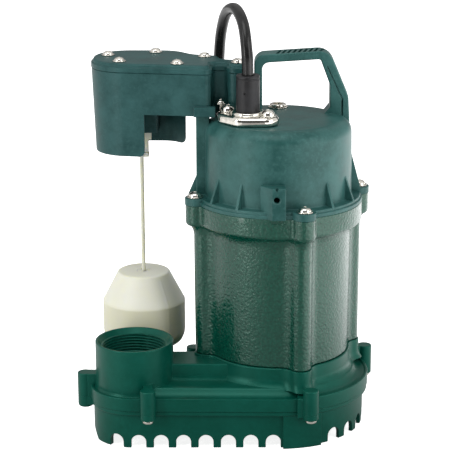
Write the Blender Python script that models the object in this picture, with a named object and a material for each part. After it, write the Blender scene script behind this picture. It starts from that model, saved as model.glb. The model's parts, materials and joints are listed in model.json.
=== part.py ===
"""Submersible sump pump with a vertical float switch.

The pump stands on its strainer: +Z is up and the floor is z = 0. The discharge socket and the
float are on the -X side, and the cord leaves behind, at +Y. Shapes are drawn round the motor axis
in millimetres. mesh_object() turns them into the scene's metres and moves them by PLACE, so that
the scene's origin is the middle of the ground that the pump covers.
"""

import math

import bmesh
import bpy
from mathutils import Matrix, Vector

MM = 0.001
PLACE = Vector((37.44, -21.10, 0.0))
GAP = 0.3

# Strainer base and volute: an outline that wraps a large and a small circle.
BASE_R = 67.8
BOSS_R = 32.5
BOSS_AT = (-105.0, -34.0)
SKIRT_INSET = 3.5
SKIRT_END_INSET = 1.9
WALL = 3.2
SKIRT_TOP = 24.0
BASE_TOP = 28.2
VOLUTE_BOTTOM = 28.6
FLANGE_TOP = 38.5
DECK_TOP = 43.0
RING_TOP = 56.8
SLOT_W = 10.8
SLOT_H = 10.0
SLOT_PITCH = 16.25

# Discharge socket for a 1-1/2 inch pipe thread.
SOCKET_AT = (-105.3, -32.2)
SOCKET_R = 28.5
SOCKET_TOP = 72.0
THREAD_PITCH = 2.209
THREAD_CREST_R = 22.2
THREAD_ROOT_R = 23.6
THREAD_TURNS = 6

# Motor housing and cap.
LOBE_ANGLES = (16.6, 106.6, 196.6, 286.6)
COLUMN_R = 7.4
COLUMN_AT = 56.4
COLUMN_FILLET = 12.0
RIM_R = 61.5
RIM_LOBE_AT = 62.0
HOUSING_BOTTOM = 57.2
HOUSING_TOP = 170.2
BORE_R = 46.3
CAP_BOTTOM = 170.7
CAP_FLANGE_TOP = 175.5
CAP_R = 53.3
CAP_TOP = 231.0
CAP_ROOF = 222.0
CAP_SHOULDER = 9.5
CAP_SCREW_AT = 63.0

# Shaft line.
SHAFT_R = 5.0
ROTOR_R = 24.0
STATOR_R = 46.0
BEARING_R = 13.0
CHAMBER_R = 44.0
CHAMBER_TOP = 43.5
IMPELLER_R = 40.0

# Switch case, with its cover, on an arm over the cap.
CASE_FLOOR = 233.5
CASE_TOP = 264.0
COVER_TOP = 270.7
SKIRT_LOW = 203.0
CASE_WALL = 3.0
CASE_CORNERS = (
    (-137.5, 1.4, 29.0),
    (-48.0, -12.1, 5.0),
    (-48.5, 6.0, 4.0),
    (-37.2, 6.0, 3.0),
    (-37.2, -5.0, 6.0),
    (-20.0, -5.0, 6.0),
    (-20.0, 16.0, 8.0),
    (-40.0, 19.0, 6.0),
    (-44.0, 34.0, 7.0),
    (-62.0, 40.0, 14.0),
    (-76.0, 57.0, 22.0),
    (-137.5, 58.0, 27.0),
)
COVER_SCREWS = (
    (-125.2, 33.0),
    (-115.2, 7.5),
    (-90.7, 45.5),
    (-73.0, -1.5),
    (-54.0, 27.0),
    (-29.5, 3.0),
)

# Float and its rod.
ROD_AT = (-101.5, 30.0)
ROD_R = 1.5
ROD_TOP = 198.6
FLOAT_R = 31.2
FLOAT_LOW = 50.0
FLOAT_SHOULDER = 84.0
FLOAT_TOP = 106.0
FLOAT_TOP_R = 19.2
CARRIER_FOOT = 194.8

# Snap switch in the case.
LEVER_AXIS = (-66.0, 247.5)
BUTTON_X = -72.0

# Cord clamp, strain relief and cord.
RELIEF_AT = (-22.0, -19.5)
RELIEF_R = 8.5
RELIEF_TOP = 266.0
CORD_R = 4.15
CLAMP_CORNERS = (
    (-1.2, -34.5, 6.0),
    (-1.2, -20.0, 7.0),
    (-28.0, -4.6, 6.0),
    (-42.8, -4.6, 6.0),
    (-42.8, -19.0, 5.0),
    (-30.0, -34.5, 6.0),
)
CLAMP_SCREWS = ((-36.3, -11.0), (-7.7, -28.0))
CASE_SCREWS = ((-42.0, 0.5), (-34.0, 23.0))
TAB_TOP = 241.0
OIL_PLUG_AT = (0.2, 35.0)

# Handle on the cap, in a plane across the pump.
HANDLE_Y = (12.0, 30.0)


def clear_scene():
    for obj in list(bpy.data.objects):
        bpy.data.objects.remove(obj, do_unlink=True)


def material(name, colour, roughness, metallic=0.0):
    mat = bpy.data.materials.new(name)
    mat.use_nodes = True
    surface = mat.node_tree.nodes["Principled BSDF"]
    surface.inputs["Base Color"].default_value = (*colour, 1.0)
    surface.inputs["Roughness"].default_value = roughness
    surface.inputs["Metallic"].default_value = metallic
    mat.diffuse_color = (*colour, 1.0)
    return mat


# Outlines are lists of (x, y) points, in order round the shape.


def arc(cx, cy, radius, start, end, steps):
    turn = [math.radians(start + (end - start) * i / steps) for i in range(steps + 1)]
    return [(cx + radius * math.cos(a), cy + radius * math.sin(a)) for a in turn]


def circle(radius, cx=0.0, cy=0.0, steps=28):
    return arc(cx, cy, radius, 0.0, 360.0, steps)[:-1]


def polar(radius, degrees):
    return radius * math.cos(math.radians(degrees)), radius * math.sin(math.radians(degrees))


def base_outline(inset=0.0, end_inset=None):
    """The line round both base circles, moved in by inset, or by end_inset at the small circle."""
    big_r = BASE_R - inset
    end_r = BOSS_R - (inset if end_inset is None else end_inset)
    away = math.degrees(math.atan2(BOSS_AT[1], BOSS_AT[0])) % 360.0
    tilt = math.degrees(math.acos((big_r - end_r) / math.hypot(*BOSS_AT)))
    big = arc(0.0, 0.0, big_r, away + tilt - 360.0, away - tilt, 26)
    return big + arc(*BOSS_AT, end_r, away - tilt, away + tilt, 11)


def rounded(corners, inset=0.0, steps=3):
    """A polygon with each corner (x, y, radius) rounded, moved in by inset."""
    points = [Vector(c[:2]) for c in corners]
    count = len(points)
    outline = []
    for i, corner in enumerate(points):
        into = (corner - points[i - 1]).normalized()
        out = (points[(i + 1) % count] - corner).normalized()
        turn = into.x * out.y - into.y * out.x
        half = math.atan2(abs(turn), into.dot(out)) / 2.0
        side = 1.0 if turn > 0 else -1.0
        radius = max(corners[i][2] - side * inset, 0.4)
        left = Vector((-into.y - out.y, into.x + out.x)).normalized()
        shifted = corner + left * (inset / math.cos(half))
        centre = shifted + left * (side * radius / math.cos(half))
        first = math.atan2(-side * into.x, side * into.y)
        for k in range(steps + 1):
            a = first + side * 2.0 * half * k / steps
            outline.append((centre.x + radius * math.cos(a), centre.y + radius * math.sin(a)))
    return outline


def lobed(body_r, lobe_at, lobe_r, fillet):
    """A circle with a round lobe at each bolt, blended in by fillets."""
    reach = math.acos(
        (lobe_at**2 + (body_r + fillet) ** 2 - (lobe_r + fillet) ** 2)
        / (2.0 * lobe_at * (body_r + fillet))
    )
    blend = Vector(((body_r + fillet) * math.cos(reach), (body_r + fillet) * math.sin(reach)))
    out = math.degrees(math.atan2(blend.y, blend.x - lobe_at))
    meet = math.degrees(reach)
    lobe = arc(blend.x, -blend.y, fillet, 180.0 - meet, 180.0 - out, 3)
    lobe += arc(lobe_at, 0.0, lobe_r, -out, out, 8)
    lobe += arc(blend.x, blend.y, fillet, 180.0 + out, 180.0 + meet, 3)
    outline = []
    for degrees in LOBE_ANGLES:
        spin = Matrix.Rotation(math.radians(degrees), 2)
        outline += [tuple(spin @ Vector(point)) for point in lobe]
        outline += arc(0.0, 0.0, body_r, degrees + meet + 9.0, degrees + 81.0 - meet, 6)
    return outline


# Shapes are (vertices, faces) pairs: closed solids that make() joins and cuts.


def loft(sections):
    """A solid through outlines with equal numbers of points, given as (outline, z)."""
    count = len(sections[0][0])
    verts = [(x, y, z) for outline, z in sections for x, y in outline]
    faces = [tuple(range(count))[::-1], tuple(range(len(verts) - count, len(verts)))]
    for low in range(0, len(verts) - count, count):
        for i in range(count):
            j = (i + 1) % count
            faces.append((low + i, low + j, low + count + j, low + count + i))
    return verts, faces


def prism(outline, low, high):
    return loft([(outline, low), (outline, high)])


def box(x, y, z):
    return prism([(x[0], y[0]), (x[1], y[0]), (x[1], y[1]), (x[0], y[1])], *z)


def rod(radius, at, low, high, steps=16):
    return prism(circle(radius, *at, steps), low, high)


def slab(outline, y):
    """An (x, z) outline that runs from y[0] to y[1]."""
    verts, faces = prism(outline, *y)
    return [(px, depth, pz) for px, pz, depth in verts], faces


def lathe(profile, at=(0.0, 0.0), steps=30):
    """A solid turned about a vertical axis from (radius, z) points: a ring, or closed at radius 0."""
    ring = profile[0][0] > 0.0
    verts, rows = [], []
    for radius, z in profile:
        if radius > 0.0:
            rows.append([len(verts) + i for i in range(steps)])
            verts += [(x, y, z) for x, y in circle(radius, *at, steps)]
        else:
            rows.append([len(verts)] * steps)
            verts.append((*at, z))
    faces = []
    for k in range(len(rows) if ring else len(rows) - 1):
        low, high = rows[k], rows[(k + 1) % len(rows)]
        for i in range(steps):
            j = (i + 1) % steps
            face = dict.fromkeys((low[i], low[j], high[j], high[i]))
            if len(face) > 2:
                faces.append(tuple(face))
    return verts, faces


def washer(inner, outer, low, high, at=(0.0, 0.0), steps=28):
    return lathe([(inner, low), (outer, low), (outer, high), (inner, high)], at, steps)


def sweep(path, radius, steps=10):
    """A round bar along a list of points."""
    path = [Vector(p) for p in path]
    side = Vector((1.0, 0.0, 0.0))
    verts, faces = [], []
    for i, point in enumerate(path):
        along = (path[min(i + 1, len(path) - 1)] - path[max(i - 1, 0)]).normalized()
        side = (side - along * side.dot(along)).normalized()
        up = along.cross(side)
        for x, y in circle(radius, steps=steps):
            verts.append(tuple(point + side * x + up * y))
    last = len(verts) - steps
    faces = [tuple(range(steps))[::-1], tuple(range(last, last + steps))]
    for low in range(0, last, steps):
        for k in range(steps):
            j = (k + 1) % steps
            faces.append((low + k, low + j, low + steps + j, low + steps + k))
    return verts, faces


def spline(points, steps=3):
    """A smooth path through the given points."""
    points = [Vector(p) for p in points]
    path = []
    for i in range(len(points) - 1):
        a, b = points[max(i - 1, 0)], points[i]
        c, d = points[i + 1], points[min(i + 2, len(points) - 1)]
        for k in range(steps):
            t = k / steps
            path.append(
                (
                    b * 2.0
                    + (c - a) * t
                    + (a * 2.0 - b * 5.0 + c * 4.0 - d) * t**2
                    + (b * 3.0 - a - c * 3.0 + d) * t**3
                )
                * 0.5
            )
    return path + [points[-1]]


def moved(shape, matrix):
    return [tuple(matrix @ Vector(v)) for v in shape[0]], shape[1]


def turned(shape, degrees):
    """The shape turned about the motor axis."""
    return moved(shape, Matrix.Rotation(math.radians(degrees), 4, "Z"))


def mesh_object(name, shapes):
    bm = bmesh.new()
    for verts, faces in shapes:
        made = [bm.verts.new((Vector(v) + PLACE) * MM) for v in verts]
        for face in faces:
            bm.faces.new([made[i] for i in face])
    bmesh.ops.recalc_face_normals(bm, faces=bm.faces[:])
    mesh = bpy.data.meshes.new(name)
    bm.to_mesh(mesh)
    bm.free()
    obj = bpy.data.objects.new(name, mesh)
    bpy.context.scene.collection.objects.link(obj)
    return obj


def combine(obj, shapes, operation):
    """Applies an exact Boolean with the shapes, then removes the helper."""
    helper = mesh_object(obj.name + "_helper", shapes)
    helper.hide_render = True
    helper.display_type = "WIRE"
    boolean = obj.modifiers.new(operation.lower(), "BOOLEAN")
    boolean.operation = operation
    boolean.solver = "EXACT"
    boolean.use_self = True
    boolean.object = helper
    bpy.context.view_layer.update()
    graph = bpy.context.evaluated_depsgraph_get()
    mesh = bpy.data.meshes.new_from_object(obj.evaluated_get(graph))
    obj.modifiers.clear()
    obj.data = mesh
    bpy.data.objects.remove(helper, do_unlink=True)


def finish(obj, mat, smooth=32.0):
    """Gives the piece its material and smooth shading with sharp edges kept."""
    mesh = obj.data
    mesh.name = obj.name
    mesh.materials.clear()
    mesh.materials.append(mat)
    for polygon in mesh.polygons:
        polygon.use_smooth = True
        polygon.material_index = 0
    mesh.set_sharp_from_angle(angle=math.radians(smooth))


def make(name, mat, body, add=(), cut=(), origin=None):
    """One named sub-part: the body, with shapes added and then cut away."""
    obj = mesh_object(name, [body])
    if add:
        combine(obj, add, "UNION")
    if cut:
        combine(obj, cut, "DIFFERENCE")
    finish(obj, mat)
    if origin:
        offset = (Vector(origin) + PLACE) * MM
        obj.data.transform(Matrix.Translation(-offset))
        obj.location = offset
    return obj


# Base and volute.


def lug_places():
    """Screw centres round the joint between the strainer and the volute."""
    back = Vector((-62.0, 38.1)) + Vector((-0.595, 0.804)) * 4.0
    return (
        (-93.8, -70.0),
        (23.2, -69.0),
        polar(73.2, 23.5),
        polar(72.0, 100.0),
        tuple(back),
        (-142.0, -31.0),
    )


def arch_slot(x, y, heading):
    """An arched opening through the skirt at (x, y), facing along heading."""
    half = SLOT_W / 2.0
    crown = arc(0.0, SLOT_H - half, half, 0.0, 180.0, 5)
    opening = slab([(half, -1.0)] + crown + [(-half, -1.0)], (-7.0, 7.0))
    spin = Matrix.Rotation(math.radians(heading - 90.0), 4, "Z")
    return moved(opening, Matrix.Translation((x, y, 0.0)) @ spin)


def slot_places():
    """(x, y, heading) of each slot: along the front, then round each end and the back."""
    front = -(BASE_R - SKIRT_INSET) - WALL / 2.0 + 3.0
    places = [(-101.2 + SLOT_PITCH * i, front, -90.0) for i in range(7)]
    for degrees in [-50.6 + 15.0 * i for i in range(12)]:
        places.append((*polar(BASE_R - 5.0, degrees), degrees))
    for i in range(5):
        t = 0.12 + 0.19 * i
        x, y = -38.0 - 86.0 * t, 51.5 - 64.5 * t
        places.append((x, y, 126.5))
    return places


def build_base(mats):
    skirt = loft(
        [
            (base_outline(SKIRT_INSET + 0.2, SKIRT_END_INSET + 0.2), 0.0),
            (base_outline(SKIRT_INSET, SKIRT_END_INSET), SKIRT_TOP + 0.5),
        ]
    )
    rim = loft(
        [
            (base_outline(0.8), SKIRT_TOP + 0.1),
            (base_outline(0.0), SKIRT_TOP + 0.9),
            (base_outline(0.0), BASE_TOP),
        ]
    )
    lugs = [rod(5.6, at, SKIRT_TOP, BASE_TOP) for at in lug_places()[:5]]
    lugs.append(rod(5.6, lug_places()[5], 19.6, BASE_TOP))
    lugs.append(box((13.6, 18.8), (-70.0, -60.0), (SKIRT_TOP + 0.4, BASE_TOP)))
    rest = arc(0.0, 0.0, BASE_R - 1.2, -87.0, -62.0, 4) + arc(0.0, 0.0, 62.0, -62.0, -87.0, 4)
    lugs.append(prism(rest, 0.0, SKIRT_TOP + 0.5))
    room = prism(base_outline(SKIRT_INSET + WALL), -1.0, 21.0)
    eye = rod(15.0, (0.0, 0.0), 20.0, 30.0, 28)
    groove = washer(46.5, 50.5, 26.4, 30.0)
    holes = [rod(2.4, at, 20.0, 30.0, 12) for at in lug_places()]
    slots = [arch_slot(*place) for place in slot_places()]
    slots.append(slab([(-150.0, -1.0), (-131.0, -1.0), (-136.2, 9.0), (-150.0, 9.0)], (-80.0, 10.0)))
    slots.append(rod(4.8, lug_places()[5], 15.0, SKIRT_TOP, 12))
    make("base_screen", mats["base"], skirt, [rim] + lugs, [room, eye, groove] + holes + slots)
    ring = washer(46.8, 50.2, 26.7, BASE_TOP + 0.1)
    make("volute_gasket", mats["rubber"], ring)
    for i, (x, y) in enumerate(lug_places()):
        top, under = SKIRT_TOP - GAP, SKIRT_TOP - 2.3
        profile = [(0.0, under), (3.2, under), (4.3, under + 0.9), (4.3, top), (2.0, top)]
        profile += [(2.0, 41.0), (0.0, 41.0)]
        make(f"base_bolt_{i + 1}", mats["chrome"], lathe(profile, (x, y), 12))


def thread_cut():
    """The socket bore, with the crests of its pipe thread."""
    profile = [(0.0, 27.0), (21.0, 27.0)]
    low = SOCKET_TOP - 2.6 - THREAD_PITCH * THREAD_TURNS
    for i in range(THREAD_TURNS):
        z = low + THREAD_PITCH * i
        profile += [(THREAD_CREST_R, z), (THREAD_ROOT_R, z + THREAD_PITCH / 2.0)]
    top = SOCKET_TOP - 2.6
    profile += [(THREAD_CREST_R + 0.4, top), (25.6, SOCKET_TOP + 0.4), (25.6, 74.0), (0.0, 74.0)]
    return lathe(profile, SOCKET_AT, 22)


def build_volute(mats):
    flange = loft(
        [
            (base_outline(0.0), VOLUTE_BOTTOM),
            (base_outline(0.0), FLANGE_TOP - 1.0),
            (base_outline(1.0), FLANGE_TOP),
        ]
    )
    deck = loft(
        [
            (base_outline(4.0), FLANGE_TOP - 2.0),
            (base_outline(4.4), FLANGE_TOP + 1.6),
            (base_outline(11.0), DECK_TOP),
        ]
    )
    ring = prism(lobed(53.6, COLUMN_AT, COLUMN_R + 0.5, COLUMN_FILLET), 40.0, RING_TOP)
    channel = rounded(
        [(-110.0, -39.0, 3.0), (-14.0, -39.0, 3.0), (-14.0, -10.0, 3.0), (-110.0, -10.0, 3.0)]
    )
    passage = loft([(channel, 40.0), (channel, RING_TOP - 1.6)])
    socket = loft(
        [
            (circle(SOCKET_R + 0.6, *SOCKET_AT), 39.0),
            (circle(SOCKET_R, *SOCKET_AT), 46.0),
            (circle(SOCKET_R, *SOCKET_AT), SOCKET_TOP - 0.5),
            (circle(SOCKET_R - 0.5, *SOCKET_AT), SOCKET_TOP),
        ]
    )
    lugs = [rod(5.6, at, VOLUTE_BOTTOM, 46.5) for at in lug_places()]
    webs = [
        box((-97.2, -90.4), (-69.0, -54.0), (37.0, 46.5)),
        box((13.6, 18.8), (-70.0, -60.0), (VOLUTE_BOTTOM, 39.6)),
        box((-141.0, -128.0), (-34.0, -28.0), (37.0, 46.4)),
        turned(box((52.0, 71.0), (-3.0, 3.0), (37.0, 46.4)), 24.0),
        turned(box((52.0, 71.0), (-3.0, 3.0), (37.0, 46.4)), 100.0),
    ]
    chamber = rod(CHAMBER_R, (0.0, 0.0), 27.0, CHAMBER_TOP, 28)
    duct = box((-104.0, -33.0), (-35.4, -13.6), (27.0, 51.5))
    seal_room = rod(13.0, (0.0, 0.0), 40.0, 60.0, 24)
    holes = [rod(2.4, at, 27.0, 42.5, 12) for at in lug_places()]
    cuts = [chamber, duct, seal_room, thread_cut()] + holes
    solids = [deck, ring, passage, socket] + lugs + webs
    make("pump_volute", mats["base"], flange, solids, cuts)


# Motor.


def build_housing(mats):
    shell = loft(
        [
            (lobed(52.4, COLUMN_AT - 0.6, COLUMN_R, COLUMN_FILLET), HOUSING_BOTTOM),
            (lobed(53.4, COLUMN_AT, COLUMN_R, COLUMN_FILLET), 149.0),
            (lobed(57.8, COLUMN_AT + 2.0, COLUMN_R, 6.0), 152.5),
            (lobed(61.0, RIM_LOBE_AT - 0.4, COLUMN_R + 0.6, 4.0), 156.5),
            (lobed(RIM_R, RIM_LOBE_AT, COLUMN_R + 0.6, 3.0), 158.0),
            (lobed(RIM_R, RIM_LOBE_AT, COLUMN_R + 0.6, 3.0), HOUSING_TOP),
        ]
    )
    bore = [(0.0, 76.0), (17.0, 76.0), (17.0, 66.0), (BORE_R, 66.0), (BORE_R, 152.7)]
    bore += [(47.7, 152.7), (47.7, 172.0), (0.0, 172.0)]
    shaft_line = lathe(
        [
            (0.0, 50.0),
            (11.3, 50.0),
            (11.3, 62.0),
            (8.0, 62.0),
            (8.0, 67.7),
            (BEARING_R + GAP, 67.7),
            (BEARING_R + GAP, 78.0),
            (0.0, 78.0),
        ],
        steps=24,
    )
    groove = washer(51.6, 55.6, 168.4, 172.0)
    holes = [rod(2.5, polar(CAP_SCREW_AT, a), 158.0, 172.0, 12) for a in LOBE_ANGLES]
    cuts = [lathe(bore), shaft_line, groove] + holes
    make("motor_housing", mats["enamel"], shell, cut=cuts)
    make("cap_gasket", mats["rubber"], washer(51.9, 55.3, 168.7, 170.4))


def stator_slots(radius_in, radius_out, half_width, low, high):
    slot = [(radius_in, -half_width), (radius_out, -half_width)]
    slot += [(radius_out, half_width), (radius_in, half_width)]
    return [turned(prism(slot, low, high), 30.0 * i) for i in range(12)]


def build_motor_inside(mats):
    core = washer(ROTOR_R + 0.6, STATOR_R, 86.0, 138.0)
    make("stator_core", mats["steel"], core, cut=stator_slots(28.0, 39.0, 3.6, 85.0, 139.0))
    rings = [washer(28.5, 38.6, 76.5, 85.7, steps=24), washer(28.5, 38.6, 138.3, 147.5, steps=24)]
    bars = stator_slots(28.7, 38.4, 3.2, 84.0, 140.0)
    make("stator_winding", mats["copper"], rings[0], [rings[1]] + bars)
    core = [
        (SHAFT_R + GAP, 84.0),
        (ROTOR_R - 4.0, 84.0),
        (ROTOR_R - 4.0, 88.0),
        (ROTOR_R, 88.0),
        (ROTOR_R, 136.0),
        (ROTOR_R - 4.0, 136.0),
        (ROTOR_R - 4.0, 140.0),
        (SHAFT_R + GAP, 140.0),
    ]
    make("rotor_core", mats["steel"], lathe(core, steps=20), origin=(0, 0, 112))
    shaft = lathe([(0.0, 33.0), (SHAFT_R, 33.0), (SHAFT_R, 165.0), (0.0, 166.0)], steps=20)
    threads = rod(2.3, (0.0, 0.0), 30.0, 43.0, 12)
    make("motor_shaft", mats["steel"], shaft, cut=[threads], origin=(0, 0, 112))
    for name, low in (("lower_bearing", 68.0), ("upper_bearing", 158.0)):
        ring = washer(SHAFT_R + GAP, BEARING_R, low, low + 7.0, steps=24)
        make(name, mats["bearing"], ring)
    bracket = [(8.0, 153.0), (47.3, 153.0), (47.3, 157.0), (17.0, 157.0), (17.0, 165.0)]
    bracket += [(BEARING_R + GAP, 165.0), (BEARING_R + GAP, 157.7), (8.0, 157.7)]
    vents = [rod(7.0, polar(32.0, 90.0 * i + 45.0), 150.0, 160.0) for i in range(4)]
    make("bearing_bracket", mats["aluminium"], lathe(bracket, steps=24), cut=vents)
    block = rounded([(28.0, -9.0, 2.0), (40.0, -9.0, 2.0), (40.0, 9.0, 2.0), (28.0, 9.0, 2.0)])
    make("thermal_protector", mats["black"], turned(prism(block, 148.0, 152.6), 20.0))


def build_seal_and_impeller(mats):
    seat = washer(SHAFT_R + 0.6, 11.0, 57.7, 61.7, steps=24)
    make("shaft_seal_seat", mats["ceramic"], seat)
    head = [
        (SHAFT_R + GAP, 44.5),
        (9.0, 44.5),
        (9.0, 47.0),
        (11.5, 48.5),
        (11.5, 52.0),
        (9.5, 53.0),
        (9.5, 57.4),
        (SHAFT_R + GAP, 57.4),
    ]
    make("shaft_seal_head", mats["rubber"], lathe(head, steps=20), origin=(0, 0, 51))
    plate = [
        (SHAFT_R + GAP, 33.5),
        (9.0, 33.5),
        (10.5, 37.6),
        (IMPELLER_R, 39.0),
        (IMPELLER_R, 41.2),
        (11.0, 41.8),
        (8.0, 43.9),
        (SHAFT_R + GAP, 43.9),
    ]
    vanes = []
    for i in range(6):
        outer = arc(0.0, 22.0, 24.0, -68.0, 4.0, 5)
        inner = arc(0.0, 22.0, 21.8, 4.0, -68.0, 5)
        blade = prism(outer + inner, 31.2, 38.8)
        vanes.append(turned(moved(blade, Matrix.Translation((9.0, -1.0, 0.0))), 60.0 * i))
    make("impeller", mats["black"], lathe(plate, steps=20), vanes, origin=(0, 0, 38))
    screw = [(0.0, 29.6), (4.0, 29.6), (5.0, 30.6), (5.0, 32.6), (2.0, 32.6), (2.0, 42.0), (0.0, 42.0)]
    make("impeller_screw", mats["chrome"], lathe(screw, steps=12), origin=(0, 0, 34))


# Cap with its handle.


def gusset(degrees, foot, height, thickness):
    """A thin rib that braces the cap's flange against its wall."""
    start = CAP_R - 2.0
    outline = [(start, CAP_BOTTOM + 3.0), (foot, CAP_BOTTOM + 3.0), (foot, CAP_FLANGE_TOP + 0.6)]
    outline += [(CAP_R + 0.4, CAP_FLANGE_TOP + height), (start, CAP_FLANGE_TOP + height)]
    return turned(slab(outline, (-thickness / 2.0, thickness / 2.0)), degrees)


def handle_shapes():
    loop = rounded(
        [
            (52.6, 222.0, 0.5),
            (51.4, 243.5, 8.0),
            (37.0, 277.8, 12.0),
            (-17.6, 274.3, 8.0),
            (-17.6, 222.0, 0.5),
            (-11.6, 222.0, 0.5),
            (-11.6, 268.5, 5.0),
            (30.6, 271.2, 2.0),
            (37.8, 252.0, 3.0),
            (37.8, 236.0, 3.0),
            (33.0, 230.0, 2.0),
            (33.0, 222.0, 0.5),
        ],
        steps=4,
    )
    bar = slab(loop, HANDLE_Y)
    slot = [(34.8, 266.0), (36.0, 266.4), (45.6, 246.2), (47.6, 242.6), (47.6, 229.0)]
    slot += [(46.0, 229.0), (46.0, 242.2), (44.2, 245.4)]
    relief = slab(slot, (HANDLE_Y[0] - 1.0, HANDLE_Y[0] + 6.0))
    grooves = []
    for i in range(7):
        x = -3.6 + 4.8 * i
        notch = [(x - 0.9, 8.0), (x + 0.9, 8.0), (x + 5.4, 34.0), (x + 3.6, 34.0)]
        level = 274.2 + 0.065 * (x + 17.6)
        grooves.append(prism(notch, level - 0.6, level + 6.0))
    return bar, [relief] + grooves


def build_cap(mats):
    dome = [(0.0, CAP_BOTTOM), (CAP_R + 0.5, CAP_BOTTOM), (CAP_R, CAP_TOP - CAP_SHOULDER)]
    corner = CAP_R - CAP_SHOULDER
    dome += arc(corner, CAP_TOP - CAP_SHOULDER, CAP_SHOULDER, 15.0, 90.0, 5)
    dome += [(0.0, CAP_TOP)]
    flange = lathe(
        [
            (0.0, CAP_BOTTOM),
            (RIM_R, CAP_BOTTOM),
            (RIM_R, CAP_FLANGE_TOP - 0.6),
            (RIM_R - 0.6, CAP_FLANGE_TOP),
            (0.0, CAP_FLANGE_TOP),
        ],
        steps=40,
    )
    lobes = []
    for degrees in LOBE_ANGLES:
        at = polar(RIM_LOBE_AT, degrees)
        lobes.append(prism(circle(8.4, *at, 16), CAP_BOTTOM, CAP_FLANGE_TOP + 0.4))
    corners = ((-13.2, -55.0), (-5.0, -64.4), (4.6, -64.4), (4.6, -45.0), (-13.2, -45.0))
    pad = rounded([(*corner, 0.5) for corner in corners], steps=2)
    block = prism(pad, CAP_BOTTOM, 193.7)
    ribs = [gusset(a, 61.0, 19.0, 2.0) for a in (-141.0, -117.5, -53.0, -30.0, 50.0, 75.0, 130.0, 155.0)]
    ribs.append(gusset(3.0, 61.2, 28.0, 3.0))
    strip = slab([(-59.6, 173.0), (-50.0, 173.0), (-50.0, 226.0), (-59.6, 226.0)], (-9.0, 9.0))
    seat = prism(rounded(CLAMP_CORNERS, -1.0), 212.0, CAP_TOP)
    handle, handle_cuts = handle_shapes()
    cavity = [(0.0, 160.0), (48.5, 160.0), (48.5, CAP_ROOF - 7.0)]
    cavity += arc(41.5, CAP_ROOF - 7.0, 7.0, 15.0, 90.0, 4)
    cavity += [(0.0, CAP_ROOF)]
    cuts = [lathe(cavity, steps=24), rod(RELIEF_R + 0.4, RELIEF_AT, 215.0, 240.0)]
    cuts += [rod(2.5, polar(CAP_SCREW_AT, a), 165.0, 180.0, 12) for a in LOBE_ANGLES]
    cuts += [rod(2.3, at, 224.0, 240.0, 12) for at in CLAMP_SCREWS + CASE_SCREWS]
    cuts.append(rod(4.3, OIL_PLUG_AT, 215.0, 240.0, 16))
    pin_hole = slab(circle(2.1, -1.8, 184.6, 16), (-70.0, -58.0))
    cuts += [pin_hole] + handle_cuts
    solids = [flange, block, strip, seat, handle] + lobes + ribs
    make("motor_cap", mats["cap"], lathe(dome, steps=36), solids, cuts)


def pan_screw(name, mat, at, seat, tip, head=4.4, shank=2.0, rise=2.9):
    profile = [(0.0, tip), (shank, tip), (shank, seat), (head, seat), (head, seat + 0.9)]
    profile += [(head * 0.7, seat + rise * 0.85), (0.0, seat + rise)]
    make(name, mat, lathe(profile, at, 12))


def build_cap_fittings(mats):
    for i, degrees in enumerate(LOBE_ANGLES):
        at = polar(CAP_SCREW_AT, degrees)
        pan_screw(f"cap_screw_{i + 1}", mats["chrome"], at, CAP_FLANGE_TOP + 0.7, 160.0, 4.7)
    x, y = OIL_PLUG_AT
    star = []
    for i in range(24):
        px, py = polar(7.2 if i % 2 else 6.0, 15.0 * i)
        star.append((x + px, y + py))
    hole = rod(4.3, OIL_PLUG_AT, 230.0, 234.0, 16)
    make("oil_plug_washer", mats["chrome"], prism(star, CAP_TOP + 0.2, CAP_TOP + 1.1), cut=[hole])
    plug = [(0.0, 222.5), (4.0, 222.5), (4.0, CAP_TOP + 1.4), (5.6, CAP_TOP + 1.4)]
    plug += [(5.2, CAP_TOP + 2.8), (3.2, CAP_TOP + 3.2), (0.0, CAP_TOP + 3.2)]
    make("oil_fill_plug", mats["chrome"], lathe(plug, OIL_PLUG_AT, 16))


# Cord, strain relief and clamp.


def build_cord(mats):
    plate = rounded(CLAMP_CORNERS)
    flange = loft([(plate, CAP_TOP + GAP), (plate, CAP_TOP + 6.0)])
    collar = washer(RELIEF_R + 0.4, RELIEF_R + 3.6, CAP_TOP + 5.0, CAP_TOP + 9.0, RELIEF_AT, 32)
    hole = rod(RELIEF_R + 0.4, RELIEF_AT, 230.0, 245.0, 32)
    holes = [rod(2.4, at, 230.0, 245.0, 16) for at in CLAMP_SCREWS]
    make("cord_clamp", mats["chrome"], flange, [collar], [hole] + holes)
    for i, at in enumerate(CLAMP_SCREWS):
        pan_screw(f"clamp_screw_{i + 1}", mats["chrome"], at, CAP_TOP + 6.3, 225.0)
    relief = [
        (CORD_R + GAP, 218.0),
        (RELIEF_R, 218.0),
        (RELIEF_R, RELIEF_TOP - 0.8),
        (RELIEF_R - 0.8, RELIEF_TOP),
        (CORD_R + GAP, RELIEF_TOP),
    ]
    make("strain_relief", mats["rubber"], lathe(relief, RELIEF_AT, 24))
    path = spline(
        [
            (-22.0, -19.5, 220.0),
            (-22.0, -19.5, 243.0),
            (-22.1, -19.4, 266.0),
            (-23.0, -17.5, 285.0),
            (-25.6, -8.0, 301.0),
            (-31.0, 10.0, 308.2),
            (-37.5, 31.0, 303.0),
            (-41.5, 48.0, 288.0),
            (-43.6, 58.5, 268.0),
            (-44.6, 66.0, 235.0),
            (-45.0, 74.0, 170.0),
            (-44.0, 83.0, 90.0),
            (-46.0, 92.0, 42.0),
            (-48.0, 100.0, 16.0),
            (-40.0, 105.0, 8.0),
            (-28.0, 106.0, 10.5),
            (-15.0, 106.0, 12.5),
            (-5.0, 106.0, 12.6),
            (9.0, 106.0, 12.6),
        ]
    )
    make("power_cord", mats["rubber"], sweep(path, CORD_R))


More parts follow.
